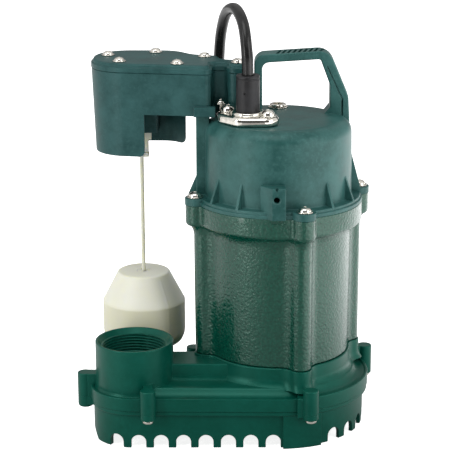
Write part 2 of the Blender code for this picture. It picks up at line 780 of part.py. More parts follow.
def build_plug(mats):
    """The moulded plug, which lies behind the pump along X."""
    lie = Matrix.Translation((-25.0, 106.0, 12.6)) @ Matrix.Rotation(math.radians(90.0), 4, "Y")
    grip = moved(
        lathe([(0.0, 18.0), (6.6, 18.0), (7.8, 36.0), (11.0, 44.0), (11.8, 62.0), (0.0, 62.0)], steps=28), lie
    )
    cord_hole = moved(rod(CORD_R + 0.5, (0.0, 0.0), 10.0, 34.6), lie)
    blades = [((-6.9, -5.4), (-3.2, 3.2)), ((5.4, 6.9), (-3.2, 3.2))]
    slots = []
    for i, (side, height) in enumerate(blades):
        y = (106.0 + side[0], 106.0 + side[1])
        z = (12.6 + 1.8 + height[0], 12.6 + 1.8 + height[1])
        slots.append(box((23.0, 45.0), (y[0] - GAP, y[1] + GAP), (z[0] - GAP, z[1] + GAP)))
        make(f"plug_blade_{i + 1}", mats["brass"], box((23.5, 53.0), y, z))
    low = Matrix.Translation((0.0, 0.0, -6.4)) @ lie
    slots.append(moved(rod(2.4 + GAP, (0.0, 0.0), 48.0, 70.0, 16), low))
    make("plug_ground_pin", mats["brass"], moved(rod(2.4, (0.0, 0.0), 48.5, 80.0, 16), low))
    make("plug_body", mats["rubber"], grip, cut=[cord_hole] + slots)


# Switch case and its cover.


def case_section(inset, z):
    """The case outline at height z: its walls lean in towards the bottom."""
    return rounded(CASE_CORNERS, inset + max(CASE_TOP - z, 0.0) * 0.045, 3), z


def skirt_cut(edge_x, y):
    """Clears the hanging skirt on the +X side of edge_x, and rounds its lower corner."""
    corner = arc(edge_x - 3.0, SKIRT_LOW + 3.0, 3.0, 0.0, -90.0, 4)
    outline = [(edge_x, CASE_FLOOR)] + corner + [(edge_x - 3.0, 190.0), (0.0, 190.0)]
    return slab(outline + [(0.0, CASE_FLOOR)], y)


def build_case(mats):
    shell = loft([case_section(0.0, SKIRT_LOW), case_section(0.0, CASE_TOP)])
    case = make("switch_case", mats["cap"], shell)
    upper = [case_section(CASE_WALL, CASE_FLOOR + 3.0), case_section(CASE_WALL, CASE_TOP + 1.0)]
    lower = [case_section(CASE_WALL, SKIRT_LOW - 1.0), case_section(CASE_WALL, CASE_FLOOR)]
    combine(case, [loft(upper)], "DIFFERENCE")
    combine(case, [loft(lower)], "DIFFERENCE")
    combine(case, [skirt_cut(-97.2, (-30.0, 18.0))], "DIFFERENCE")
    combine(case, [skirt_cut(-68.8, (17.0, 80.0))], "DIFFERENCE")
    front_tab = [(-53.0, -11.0, 1.0), (-47.5, -11.0, 1.0), (-47.0, -4.0, 2.0), (-37.7, -4.0, 3.0)]
    front_tab += [(-37.7, 9.0, 1.0), (-53.0, 9.0, 1.0)]
    back_tab = [(-47.0, 14.0, 1.0), (-29.5, 13.0, 1.0), (-29.5, 27.4, 4.0), (-47.0, 27.4, 1.0)]
    tabs = [prism(rounded(tab), CAP_TOP + GAP, TAB_TOP) for tab in (front_tab, back_tab)]
    sleeve = box((-107.0, -89.5), (24.0, 36.0), (214.0, 235.0))
    rib = box((-92.0, -89.0), (35.5, 52.0), (212.0, 234.6))
    post = rod(2.0, (-60.8, 29.6), 235.0, 251.4, 10)
    bosses = [rod(4.6, at, CASE_FLOOR + 1.0, CASE_TOP, 14) for at in COVER_SCREWS]
    combine(case, tabs + [sleeve, rib, post] + bosses, "UNION")
    slot = box((-99.8, -93.4), (28.0, 32.0), (205.0, 240.0))
    well = rod(3.4, ROD_AT, 205.0, 223.0, 16)
    holes = [rod(1.9, at, CASE_TOP - 13.0, CASE_TOP + 1.0, 10) for at in COVER_SCREWS]
    holes += [rod(2.3, at, 228.0, 250.0, 12) for at in CASE_SCREWS]
    combine(case, [slot, well] + holes, "DIFFERENCE")
    finish(case, mats["cap"])
    for i, at in enumerate(CASE_SCREWS):
        pan_screw(f"case_screw_{i + 1}", mats["chrome"], at, TAB_TOP + GAP, 225.0)


def build_cover(mats):
    low = CASE_TOP + 0.25
    outer = prism(rounded(CASE_CORNERS, 0.6, 3), low, low + 0.6)
    inner = prism(rounded(CASE_CORNERS, 2.6, 3), low - 1.0, low + 2.0)
    make("cover_gasket", mats["rubber"], outer, cut=[inner])
    low += 0.85
    shell = loft(
        [
            (rounded(CASE_CORNERS, -0.3, 3), low),
            (rounded(CASE_CORNERS, -0.3, 3), 268.0),
            (rounded(CASE_CORNERS, 0.9, 3), 268.4),
            (rounded(CASE_CORNERS, 1.6, 3), 270.0),
            (rounded(CASE_CORNERS, 2.8, 3), COVER_TOP),
        ]
    )
    room = loft([(rounded(CASE_CORNERS, 5.0, 3), low - 1.0), (rounded(CASE_CORNERS, 5.0, 3), 267.0)])
    bosses = [rod(4.6, at, low, 268.0, 14) for at in COVER_SCREWS]
    cover = make("switch_cover", mats["cap"], shell, cut=[room])
    combine(cover, bosses, "UNION")
    combine(cover, [rod(2.2, at, 260.0, 275.0, 12) for at in COVER_SCREWS], "DIFFERENCE")
    finish(cover, mats["cap"])
    for i, at in enumerate(COVER_SCREWS):
        pan_screw(f"cover_screw_{i + 1}", mats["chrome"], at, COVER_TOP + 0.2, 252.0, shank=1.6)


def build_switch(mats):
    x, z = LEVER_AXIS
    y = (24.6, 34.6)
    body = box((-78.0, -59.0), y, (251.8, 262.4))
    ears = [box((x - 2.6, x + 2.6), (y[0], y[0] + 2.6), (244.8, 253.0))]
    ears.append(box((x - 2.6, x + 2.6), (y[1] - 1.8, y[1]), (244.8, 253.0)))
    pin_way = slab(circle(1.3, x, z, 12), (20.0, 40.0))
    well = rod(1.8, (BUTTON_X, 30.0), 250.0, 256.2, 16)
    make("snap_switch", mats["black"], body, ears, [pin_way, well])
    button = rod(1.5, (BUTTON_X, 30.0), z + 1.0, 254.4, 16)
    make("switch_button", mats["ivory"], button, origin=(BUTTON_X, 30.0, z + 1.0))
    arm = box((-99.5, x), (27.6, 32.4), (z - 0.7, z + 0.7))
    eye = slab(circle(2.4, x, z, 16), (27.5, 32.5))
    bore = slab(circle(1.3, x, z, 12), (20.0, 40.0))
    make("switch_lever", mats["steel"], arm, [eye], [bore], origin=(x, 30.0, z))
    make("lever_pin", mats["steel"], slab(circle(1.0, x, z, 12), (24.0, 35.2)))


# Float, rod and rod carrier.


def build_float(mats):
    x, y = ROD_AT
    bar = [(0.0, 43.0), (2.8, 43.0), (2.8, 44.6), (ROD_R, 44.6), (ROD_R, ROD_TOP)]
    bar += [(2.0, ROD_TOP), (2.0, ROD_TOP + 1.4), (0.0, ROD_TOP + 1.4)]
    make("float_rod", mats["ivory"], lathe(bar, ROD_AT, 14), origin=(x, y, 120.0))
    make("float_stop", mats["ivory"], washer(ROD_R + GAP, 5.0, 44.9, 49.6, ROD_AT, 20))
    corners = ((x - 3.2, y - 2.6), (-95.8, y - 2.6), (-95.8, y + 2.6), (x - 3.2, y + 2.6))
    foot = rounded([(*corner, 1.0) for corner in corners])
    base = prism(foot, CARRIER_FOOT, ROD_TOP - GAP)
    arm = box((-99.2, -96.2), (y - 1.6, y + 1.6), (CARRIER_FOOT + 1.0, 210.0))
    blade = box((-99.3, -94.0), (y - 1.7, y + 1.7), (208.0, 240.0))
    tip = box((-98.6, -96.4), (y - 1.5, y + 1.5), (239.0, 246.3))
    bore = rod(ROD_R + GAP, ROD_AT, 190.0, 202.0, 14)
    make("rod_carrier", mats["ivory"], base, [arm, blade, tip], [bore], origin=(x, y, 200.0))
    profile = [
        (ROD_R + 0.4, FLOAT_LOW),
        (FLOAT_R - 5.0, FLOAT_LOW),
        (FLOAT_R - 2.0, FLOAT_LOW + 1.6),
        (FLOAT_R, FLOAT_LOW + 8.0),
        (FLOAT_R, FLOAT_SHOULDER - 1.0),
        (FLOAT_R - 0.8, FLOAT_SHOULDER + 0.8),
        (FLOAT_TOP_R + 0.8, FLOAT_TOP - 1.2),
        (FLOAT_TOP_R - 0.8, FLOAT_TOP),
        (ROD_R + 0.4, FLOAT_TOP),
    ]
    make("float", mats["ivory"], lathe(profile, ROD_AT), origin=(x, y, 78.0))


def main():
    clear_scene()
    mats = {
        "base": material("base_plastic", (0.006, 0.075, 0.052), 0.34),
        "enamel": material("motor_enamel", (0.010, 0.095, 0.062), 0.18),
        "cap": material("cap_plastic", (0.045, 0.150, 0.130), 0.48),
        "ivory": material("float_plastic", (0.68, 0.68, 0.58), 0.42),
        "rubber": material("black_rubber", (0.012, 0.012, 0.013), 0.45),
        "black": material("black_plastic", (0.02, 0.02, 0.02), 0.4),
        "chrome": material("chrome", (0.80, 0.80, 0.79), 0.12, 1.0),
        "steel": material("steel", (0.42, 0.42, 0.43), 0.35, 1.0),
        "bearing": material("bearing_steel", (0.55, 0.55, 0.56), 0.22, 1.0),
        "aluminium": material("aluminium", (0.62, 0.62, 0.63), 0.45, 1.0),
        "copper": material("copper_winding", (0.55, 0.22, 0.09), 0.35, 1.0),
        "brass": material("brass", (0.70, 0.52, 0.22), 0.25, 1.0),
        "ceramic": material("seal_ceramic", (0.72, 0.70, 0.66), 0.3),
    }
    build_base(mats)
    build_volute(mats)
    build_housing(mats)
    build_motor_inside(mats)
    build_seal_and_impeller(mats)
    build_cap(mats)
    build_cap_fittings(mats)
    build_cord(mats)
    build_plug(mats)
    build_case(mats)
    build_cover(mats)
    build_switch(mats)
    build_float(mats)


main()
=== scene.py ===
"""Looks of a submersible sump pump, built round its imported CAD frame.

Every shell that can be seen is made again here with fine outlines, rounded edges and procedural
materials. The shape functions work in millimetres, +Z up, with x and y measured from the motor
axis. mesh_object moves them to the frame. The main places and heights are read from the frame.
"""

import json
import math

import bmesh
import bpy
from mathutils import Matrix, Vector

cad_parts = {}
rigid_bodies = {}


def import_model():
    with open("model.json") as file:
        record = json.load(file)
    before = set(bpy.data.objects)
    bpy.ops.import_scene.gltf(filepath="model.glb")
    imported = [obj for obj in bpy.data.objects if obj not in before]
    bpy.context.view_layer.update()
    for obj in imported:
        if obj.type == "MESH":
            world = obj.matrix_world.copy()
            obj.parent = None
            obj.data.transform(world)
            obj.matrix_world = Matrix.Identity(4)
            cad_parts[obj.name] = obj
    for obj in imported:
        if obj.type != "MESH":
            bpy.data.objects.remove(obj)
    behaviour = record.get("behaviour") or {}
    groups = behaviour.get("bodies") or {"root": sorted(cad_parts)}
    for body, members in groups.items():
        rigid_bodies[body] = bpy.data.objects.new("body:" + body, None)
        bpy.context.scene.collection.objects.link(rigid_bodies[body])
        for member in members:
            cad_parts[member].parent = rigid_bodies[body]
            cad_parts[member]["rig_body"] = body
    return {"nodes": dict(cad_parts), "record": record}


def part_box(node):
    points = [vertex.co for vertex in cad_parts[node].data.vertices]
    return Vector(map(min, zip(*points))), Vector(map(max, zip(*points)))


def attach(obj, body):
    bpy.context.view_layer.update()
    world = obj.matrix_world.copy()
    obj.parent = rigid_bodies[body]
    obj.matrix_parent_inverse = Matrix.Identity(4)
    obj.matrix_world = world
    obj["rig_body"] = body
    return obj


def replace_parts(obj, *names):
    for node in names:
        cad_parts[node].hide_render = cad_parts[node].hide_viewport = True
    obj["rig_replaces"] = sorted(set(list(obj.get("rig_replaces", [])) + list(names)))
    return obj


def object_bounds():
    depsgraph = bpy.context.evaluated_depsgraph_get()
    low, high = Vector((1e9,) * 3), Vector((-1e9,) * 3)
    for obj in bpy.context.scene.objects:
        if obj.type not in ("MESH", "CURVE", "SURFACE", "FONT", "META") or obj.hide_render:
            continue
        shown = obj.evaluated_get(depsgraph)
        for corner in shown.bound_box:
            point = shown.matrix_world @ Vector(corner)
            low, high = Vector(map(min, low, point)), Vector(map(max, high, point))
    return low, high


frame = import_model()
cad_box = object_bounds()

MM = 0.001
SLOT_OF = {part["node"]: part["material_slot"] for part in frame["record"]["subparts"]}

# Nodes whose look differs from their slot's usual one.
LOOK_OF = SLOT_OF | {
    "power_cord": "cord_jacket",
    # The switch case and cover take the cap plastic painted darker: painted shade.
    "switch_case": "shaded_cap_plastic",
    "switch_cover": "shaded_cap_plastic",
    "stator_core": "laminations",
    "rotor_core": "laminations",
}


# Places read from the frame.


def motor_place():
    """The foot of the motor axis, in millimetres of the frame."""
    low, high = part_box("motor_shaft")
    return Vector((low[0] + high[0], low[1] + high[1], 0)) / (2 * MM)


MOTOR_AT = motor_place()


def span(node, axis):
    """(low, high) of a CAD node along x, y or z, in millimetres from the motor axis."""
    low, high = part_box(node)
    index = "xyz".index(axis)
    return low[index] / MM - MOTOR_AT[index], high[index] / MM - MOTOR_AT[index]


def low_of(node):
    return span(node, "z")[0]


def top_of(node):
    return span(node, "z")[1]


def centre_of(node):
    """(x, y) of the middle of a CAD node's box, in millimetres."""
    return tuple(sum(span(node, axis)) / 2 for axis in "xy")


def places_of(kind, count):
    """The (x, y) middles of kind_1 to kind_count."""
    return [centre_of(f"{kind}_{i + 1}") for i in range(count)]


# Base and volute.
BASE_R = 67.8
BOSS_R = 32.5
BOSS_AT = (-105, -34)
SKIRT_INSET = 3.5
SKIRT_END_INSET = 1.9
WALL = 3.2
SKIRT_TOP = 24
RIM_FOOT = 25.3
VOLUTE_BOTTOM = low_of("pump_volute")
PART_GAP = 0.03
RIM_TOP = VOLUTE_BOTTOM - PART_GAP
FLANGE_TOP = VOLUTE_BOTTOM + 9.9
DECK_TOP = FLANGE_TOP + 4.5
LUG_R = 5.6
LUG_TOP = 46.5
BACK_LUG_TOP = 40.5
END_WEB_X = (-140.4, -128)
END_WEB_Y = (-36.4, -25.6)
END_WEB_LOW = 22.4
END_LUG_LOW = 19.6
FRONT_WEB = ((13.6, 18.8), (-70, -60))
FOOT_R = BASE_R - 1.2
FOOT_ANGLES = (-87, -62)
EYE_R = 15
BOLT_HOLE_R = 2.4
SLOT_W = 10.8
SLOT_H = 10
SLOT_PITCH = 16.25
FIRST_SLOT_X = -101.2
SLOT_TURN = 15
FIRST_SLOT_TURN = -50.6

# Discharge socket.
SOCKET_AT = (-105.3, -32.2)
SOCKET_R = 28.5
SOCKET_TOP = top_of("pump_volute")
THREAD_PITCH = 2.209
THREAD_CREST_R = 22.9
THREAD_ROOT_R = 24.1
THREAD_TURNS = 6

# Motor housing and cap.
LOBE_ANGLES = (16.6, 106.6, 196.6, 286.6)
COLUMN_R = 7.4
COLUMN_AT = 56.4
COLUMN_FILLET = 12
HOUSING_R = 53.4
FLARE_LOW = 147
RIM_R = 61.5
RIM_LOBE_AT = 62
RING_R = 53.6
RING_TOP = 56.8
HOUSING_BOTTOM = low_of("motor_housing")
CAP_BOTTOM = low_of("motor_cap")
CAP_FLANGE_TOP = CAP_BOTTOM + 4.8
CAP_R = 53.3
CAP_TOP = 231
CAP_SHOULDER = 9.5
CAP_HOLE_R = 2.5
TOP_HOLE_R = 2.3
GUSSET_ANGLES = (-143.7, -119.9, -50.4, -26.5, 50, 75, 130, 155)
HANDLE_Y = (12, 30)
HANDLE_LEFT = -17.6
HANDLE_TOP = 274.3
HANDLE_SLOPE = 0.064

# Switch case and cover.
CASE_FLOOR = 233.5
CASE_TOP = top_of("switch_case")
COVER_TOP = top_of("switch_cover")
SKIRT_LOW = low_of("switch_case") - 1.2
CASE_WALL = 3
CASE_DRAFT = 0.036
CASE_CORNERS = (
    (-137, 1.4, 29), (-48, -12.1, 5), (-48.5, 6, 4), (-37.2, 6, 3),
    (-37.2, -5, 6), (-20, -5, 6), (-20, 16, 8), (-40, 19, 6),
    (-44, 34, 7), (-62, 40, 14), (-76, 57, 22), (-137, 58, 27),
)
TAB_TOP = 241
BOSS_POST_R = 4.6
COVER_LIP = 268

# Float, cord and fittings.
CLAMP_CORNERS = (
    (-1.2, -34.5, 9), (-1.2, -20, 9), (-28, -4.6, 10), (-42.8, -4.6, 9),
    (-42.8, -19, 10), (-30, -34.5, 9),
)
ROD_AT = centre_of("float_rod")
RELIEF_AT = centre_of("strain_relief")
RELIEF_R = 8.5
RELIEF_HOLE_R = RELIEF_R + 0.4
CORD_R = 4.15
OIL_PLUG_AT = centre_of("oil_fill_plug")
OIL_HOLE_R = 4.3
PLUG_Y, PLUG_Z = 106, 12.6
FLOAT_SHOULDER = 34

# Screws and bolts.
COVER_SCREWS = places_of("cover_screw", 6)
CASE_SCREWS = places_of("case_screw", 2)
CLAMP_SCREWS = places_of("clamp_screw", 2)
CAP_SCREWS = places_of("cap_screw", 4)
BASE_BOLTS = places_of("base_bolt", 6)

# How finely round shapes are divided.
FINE = 96
MEDIUM = 48


# Outlines are lists of (x, y) points, in order round the shape.


def arc(cx, cy, radius, start, end, steps=4):
    turn = [math.radians(start + (end - start) * i / steps) for i in range(steps + 1)]
    return [(cx + radius * math.cos(a), cy + radius * math.sin(a)) for a in turn]


def circle(radius, cx=0, cy=0, steps=MEDIUM):
    return arc(cx, cy, radius, 0, 360, steps)[:-1]


def polar(radius, degrees):
    return radius * math.cos(math.radians(degrees)), radius * math.sin(math.radians(degrees))


def rectangle(x, y, *radius):
    """The corners of a rectangle, each with a radius if one is given."""
    return [(x[0], y[0], *radius), (x[1], y[0], *radius), (x[1], y[1], *radius), (x[0], y[1], *radius)]


def base_outline(inset=0, end_inset=None):
    """The line round both base circles, moved in by inset, or by end_inset at the small circle."""
    big_r = BASE_R - inset
    end_r = BOSS_R - (inset if end_inset is None else end_inset)
    away = math.degrees(math.atan2(BOSS_AT[1], BOSS_AT[0])) % 360
    tilt = math.degrees(math.acos((big_r - end_r) / math.hypot(*BOSS_AT)))
    big = arc(0, 0, big_r, away + tilt - 360, away - tilt, 88)
    return big + arc(*BOSS_AT, end_r, away - tilt, away + tilt, 40)


def rounded(corners, inset=0, steps=9):
    """A polygon with each corner (x, y, radius) rounded, moved in by inset."""
    points = [Vector(c[:2]) for c in corners]
    count = len(points)
    outline = []
    for i, corner in enumerate(points):
        into = (corner - points[i - 1]).normalized()
        out = (points[(i + 1) % count] - corner).normalized()
        turn = into.x * out.y - into.y * out.x
        half = math.atan2(abs(turn), into.dot(out)) / 2
        side = 1 if turn > 0 else -1
        radius = max(corners[i][2] - side * inset, 0.3)
        left = Vector((-into.y - out.y, into.x + out.x)).normalized()
        shifted = corner + left * (inset / math.cos(half))
        centre = shifted + left * (side * radius / math.cos(half))
        first = math.atan2(-side * into.x, side * into.y)
        for k in range(steps + 1):
            a = first + side * 2 * half * k / steps
            outline.append((centre.x + radius * math.cos(a), centre.y + radius * math.sin(a)))
    return outline


def lobed(body_r, lobe_at, lobe_r, fillet):
    """A circle with a round lobe at each bolt, blended in by fillets."""
    reach = math.acos(
        (lobe_at**2 + (body_r + fillet) ** 2 - (lobe_r + fillet) ** 2)
        / (2 * lobe_at * (body_r + fillet))
    )
    blend = Vector(((body_r + fillet) * math.cos(reach), (body_r + fillet) * math.sin(reach)))
    out = math.degrees(math.atan2(blend.y, blend.x - lobe_at))
    meet = math.degrees(reach)
    lobe = arc(blend.x, -blend.y, fillet, 180 - meet, 180 - out, 8)
    lobe += arc(lobe_at, 0, lobe_r, -out, out, 20)[1:-1]
    lobe += arc(blend.x, blend.y, fillet, 180 + out, 180 + meet, 8)
    outline = []
    for degrees in LOBE_ANGLES:
        spin = Matrix.Rotation(math.radians(degrees), 2)
        outline += [tuple(spin @ Vector(point)) for point in lobe]
        outline += arc(0, 0, body_r, degrees + meet + 2, degrees + 88 - meet, 18)
    return outline


# Shapes are (vertices, faces) pairs: closed solids that piece() joins and cuts.


def loft(sections):
    """A solid through outlines with equal numbers of points, given as (outline, z)."""
    count = len(sections[0][0])
    verts = [(x, y, z) for outline, z in sections for x, y in outline]
    faces = [tuple(range(count))[::-1], tuple(range(len(verts) - count, len(verts)))]
    for low in range(0, len(verts) - count, count):
        for i in range(count):
            j = (i + 1) % count
            faces.append((low + i, low + j, low + count + j, low + count + i))
    return verts, faces


def prism(outline, low, high):
    return loft([(outline, low), (outline, high)])


def stack(outline_at, levels):
    """A solid through the outlines at (inset, z) levels; outline_at(inset) is one moved in by inset."""
    return loft([(outline_at(inset), z) for inset, z in levels])


def soft_prism(outline_at, low, high, edge, low_edge=0):
    """A prism with its top edge rounded, and its lower edge if low_edge is given."""
    levels = []
    if low_edge > 0:
        for turn in (90, 60, 30):
            inset, drop = polar(low_edge, turn)
            levels.append((low_edge - inset, low + low_edge - drop))
    levels.append((0, low + low_edge))
    for turn in (0, 30, 60, 90):
        inset, rise = polar(edge, turn)
        levels.append((edge - inset, high - edge + rise))
    return stack(outline_at, levels)


def plate(corners, low, high, edge, low_edge=0, steps=4):
    """A flat solid with (x, y, radius) corners and rounded edges."""
    return soft_prism(lambda inset: rounded(corners, inset, steps), low, high, edge, low_edge)


def box(x, y, z):
    return prism(rectangle(x, y), *z)


def soft_box(x, y, z, edge=0.5):
    """A box with rounded upright and top edges."""
    return plate(rectangle(x, y, edge), *z, edge)


def rod(radius, at, low, high, steps=MEDIUM):
    return prism(circle(radius, *at, steps), low, high)


def boss(radius, at, low, high, low_edge, top_edge):
    """A rod with rounded edges."""
    return soft_prism(lambda inset: circle(radius - inset, *at), low, high, top_edge, low_edge)


def rods(radius, places, low, high, steps=24):
    return [rod(radius, at, low, high, steps) for at in places]


def slab(outline, y):
    """An (x, z) outline that runs from y[0] to y[1]."""
    return upright(prism(outline, *y))


def upright(shape):
    """Stands a shape up: its height becomes its depth along y."""
    return [(px, depth, pz) for px, pz, depth in shape[0]], shape[1]


def lathe(profile, at=(0, 0), steps=FINE, wave=None):
    """A solid turned about a vertical axis from (radius, z) points: a ring, or closed at radius 0.

    wave(angle, radius, z) may give another radius, which is how a thread winds up its bore.
    """
    ring = profile[0][0] > 0
    verts, rows = [], []
    for radius, z in profile:
        if radius > 0:
            rows.append([len(verts) + i for i in range(steps)])
            for i in range(steps):
                angle = 2 * math.pi * i / steps
                r = wave(angle, radius, z) if wave else radius
                verts.append((at[0] + r * math.cos(angle), at[1] + r * math.sin(angle), z))
        else:
            rows.append([len(verts)] * steps)
            verts.append((*at, z))
    faces = []
    for k in range(len(rows) if ring else len(rows) - 1):
        low, high = rows[k], rows[(k + 1) % len(rows)]
        for i in range(steps):
            j = (i + 1) % steps
            face = dict.fromkeys((low[i], low[j], high[j], high[i]))
            if len(face) > 2:
                faces.append(tuple(face))
    return verts, faces


def sweep(path, radius, steps=28):
    """A round bar along a list of points."""
    path = [Vector(p) for p in path]
    side = Vector((1, 0, 0))
    verts, faces = [], []
    for i, point in enumerate(path):
        along = (path[min(i + 1, len(path) - 1)] - path[max(i - 1, 0)]).normalized()
        side = (side - along * side.dot(along)).normalized()
        up = along.cross(side)
        for x, y in circle(radius, steps=steps):
            verts.append(tuple(point + side * x + up * y))
    last = len(verts) - steps
    faces = [tuple(range(steps))[::-1], tuple(range(last, last + steps))]
    for low in range(0, last, steps):
        for k in range(steps):
            j = (k + 1) % steps
            faces.append((low + k, low + j, low + steps + j, low + steps + k))
    return verts, faces


def spline(points, steps=12):
    """A smooth path through the given points."""
    points = [Vector(p) for p in points]
    path = []
    for i in range(len(points) - 1):
        a, b = points[max(i - 1, 0)], points[i]
        c, d = points[i + 1], points[min(i + 2, len(points) - 1)]
        for k in range(steps):
            t = k / steps
            linear = b * 2 + (c - a) * t
            square = (a * 2 - b * 5 + c * 4 - d) * t**2
            cube = (b * 3 - a - c * 3 + d) * t**3
            path.append((linear + square + cube) * 0.5)
    return path + [points[-1]]


def moved(shape, matrix):
    return [tuple(matrix @ Vector(v)) for v in shape[0]], shape[1]


def turned(shape, degrees):
    """The shape turned about the motor axis."""
    return moved(shape, Matrix.Rotation(math.radians(degrees), 4, "Z"))


# Turning shapes into pieces of the object.


def add_object(name, data):
    obj = bpy.data.objects.new(name, data)
    bpy.context.scene.collection.objects.link(obj)
    return obj


def mesh_object(name, shapes):
    bm = bmesh.new()
    for verts, faces in shapes:
        made = [bm.verts.new((Vector(v) + MOTOR_AT) * MM) for v in verts]
        for face in faces:
            bm.faces.new([made[i] for i in face])
    bmesh.ops.recalc_face_normals(bm, faces=bm.faces[:])
    mesh = bpy.data.meshes.new(name)
    bm.to_mesh(mesh)
    bm.free()
    return add_object(name, mesh)


ADD, CUT = "UNION", "DIFFERENCE"


def combine(obj, shapes, operation):
    """Applies an exact Boolean with the shapes, then removes the helper."""
    helper = mesh_object(obj.name + "_helper", shapes)
    boolean = obj.modifiers.new(operation.lower(), "BOOLEAN")
    boolean.operation = operation
    boolean.solver = "EXACT"
    boolean.use_self = True
    boolean.object = helper
    bpy.context.view_layer.update()
    graph = bpy.context.evaluated_depsgraph_get()
    mesh = bpy.data.meshes.new_from_object(obj.evaluated_get(graph))
    obj.modifiers.clear()
    obj.data = mesh
    bpy.data.objects.remove(helper, do_unlink=True)


def clean(obj, smooth):
    """Removes slivers that a Boolean leaves, and shades smooth with sharp edges kept."""
    bm = bmesh.new()
    bm.from_mesh(obj.data)
    bmesh.ops.remove_doubles(bm, verts=bm.verts[:], dist=0.00001)
    bmesh.ops.dissolve_degenerate(bm, edges=bm.edges[:], dist=0.00001)
    bm.to_mesh(obj.data)
    bm.free()
    for polygon in obj.data.polygons:
        polygon.use_smooth = True
    obj.data.set_sharp_from_angle(angle=math.radians(smooth))
    weighted = obj.modifiers.new("shading", "WEIGHTED_NORMAL")
    weighted.keep_sharp = True


def dress(obj, node):
    """Gives an object the material for its CAD node's look."""
    obj.data.materials.clear()
    obj.data.materials.append(MATERIALS[LOOK_OF[node]])


def piece(node, body, *changes, smooth=35):
    """The fine version of a CAD node. changes are (ADD or CUT, shapes) pairs, done in order."""
    obj = mesh_object(node + "_fine", [body])
    for operation, shapes in changes:
        combine(obj, shapes, operation)
    clean(obj, smooth)
    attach(obj, frame["nodes"][node]["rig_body"])
    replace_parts(obj, node)
    dress(obj, node)


# Materials. Patterns use object coordinates, so their scales are per metre.

MATERIALS = {}
# How far from each edge the painted edge highlight reaches.
EDGE_HIGHLIGHT_REACH = 0.06


class Nodes:
    """Adds nodes to a material's or world's tree."""

    def __init__(self, owner):
        owner.use_nodes = True
        self.tree = owner.node_tree

    def add(self, kind, inputs=None, **settings):
        node = self.tree.nodes.new(kind)
        for key, value in settings.items():
            setattr(node, key, value)
        for key, value in (inputs or {}).items():
            self.put(node.inputs[key], value)
        return node

    def put(self, socket, value):
        """Sets a socket to a value, or links an output to it. Colours get an alpha of 1."""
        if isinstance(value, bpy.types.NodeSocket):
            self.tree.links.new(value, socket)
        elif socket.type == "RGBA":
            socket.default_value = (*value, 1)
        else:
            socket.default_value = value

    def math(self, operation, first, second=0):
        return self.add("ShaderNodeMath", {0: first, 1: second}, operation=operation).outputs[0]

    def remap(self, value, low, high, to_low=0, to_high=1):
        wanted = {0: value, 1: low, 2: high, 3: to_low, 4: to_high}
        return self.add("ShaderNodeMapRange", wanted).outputs[0]

    def camera_ray(self):
        """1 where the camera looks straight at the surface, and 0 for all other rays."""
        return self.add("ShaderNodeLightPath").outputs["Is Camera Ray"]


class Shader(Nodes):
    """A new material, with helpers for its patterns."""

    def __init__(self, name):
        self.mat = bpy.data.materials.new(name)
        MATERIALS[name] = self.mat
        super().__init__(self.mat)
        self.surface = self.tree.nodes["Principled BSDF"]
        self.place = self.add("ShaderNodeTexCoord").outputs["Object"]

    def set(self, **inputs):
        for key, value in inputs.items():
            self.put(self.surface.inputs[key.replace("_", " ")], value)

    def noise(self, scale, detail=3, stretch=None, roughness=0.5):
        place = self.place
        if stretch:
            place = self.add("ShaderNodeMapping", {"Vector": place, "Scale": stretch}).outputs[0]
        wanted = {"Vector": place, "Scale": scale, "Detail": detail, "Roughness": roughness}
        return self.add("ShaderNodeTexNoise", wanted).outputs["Fac"]

    def cells(self, scale):
        wanted = {"Vector": self.place, "Scale": scale, "Smoothness": 1}
        return self.add("ShaderNodeTexVoronoi", wanted, feature="SMOOTH_F1").outputs["Distance"]

    def mix(self, amount, first, second):
        """Blends two colours. The Mix node keeps its colour sockets at places 6, 7 and 2."""
        wanted = {0: amount, 6: first, 7: second}
        return self.add("ShaderNodeMix", wanted, data_type="RGBA").outputs[2]

    def soft_edges(self, radius):
        """The normal with every edge rounded by radius, in metres."""
        return self.add("ShaderNodeBevel", {"Radius": radius}, samples=6).outputs[0]

    def edge_highlight_mask(self, rounded_normal):
        """1 on rounded edges and 0 on faces: the mask for a painted highlight along the edges."""
        flat = self.add("ShaderNodeNewGeometry").outputs["Normal"]
        dot = self.add("ShaderNodeVectorMath", {0: rounded_normal, 1: flat}, operation="DOT_PRODUCT")
        return self.remap(dot.outputs["Value"], 1 - EDGE_HIGHLIGHT_REACH, 1 - EDGE_HIGHLIGHT_REACH * 0.2, 1, 0)

    def bump(self, height, strength, distance, normal=None):
        wanted = {"Height": height, "Strength": strength, "Distance": distance}
        if normal is not None:
            wanted["Normal"] = normal
        return self.add("ShaderNodeBump", wanted).outputs[0]


def moulded_plastic(name, colour, light, roughness, mottle, gloss, sheen):
    """Glass-filled moulded plastic: cloudy flow marks, a fine grain and a painted highlight that makes the
    edges paler.
    """
    s = Shader(name)
    clouds = s.noise(70, 6, roughness=0.68)
    flow = s.noise(22, 3, stretch=(1, 1, 0.35))
    fibres = s.noise(420, 2)
    amount = s.remap(s.math("ADD", clouds, s.math("MULTIPLY", flow, 0.6)), 0.62, 1, 0, mottle)
    base = s.mix(amount, colour, light)
    speck = s.remap(fibres, 0.52, 0.72, 0, mottle * 0.5)
    base = s.mix(speck, base, light)
    edge_normal = s.soft_edges(0.0006)
    # Painted highlight: the colour is made paler along rounded edges.
    edge_highlight = s.math("MULTIPLY", s.edge_highlight_mask(edge_normal), 0.35)
    s.set(Base_Color=s.mix(edge_highlight, base, light))
    s.set(Roughness=s.remap(clouds, 0.3, 0.7, roughness - 0.05, roughness + 0.07))
    s.set(Specular_IOR_Level=gloss, Specular_Tint=sheen)
    s.set(Normal=s.bump(s.noise(900, 2), 0.35, 0.00004, edge_normal))


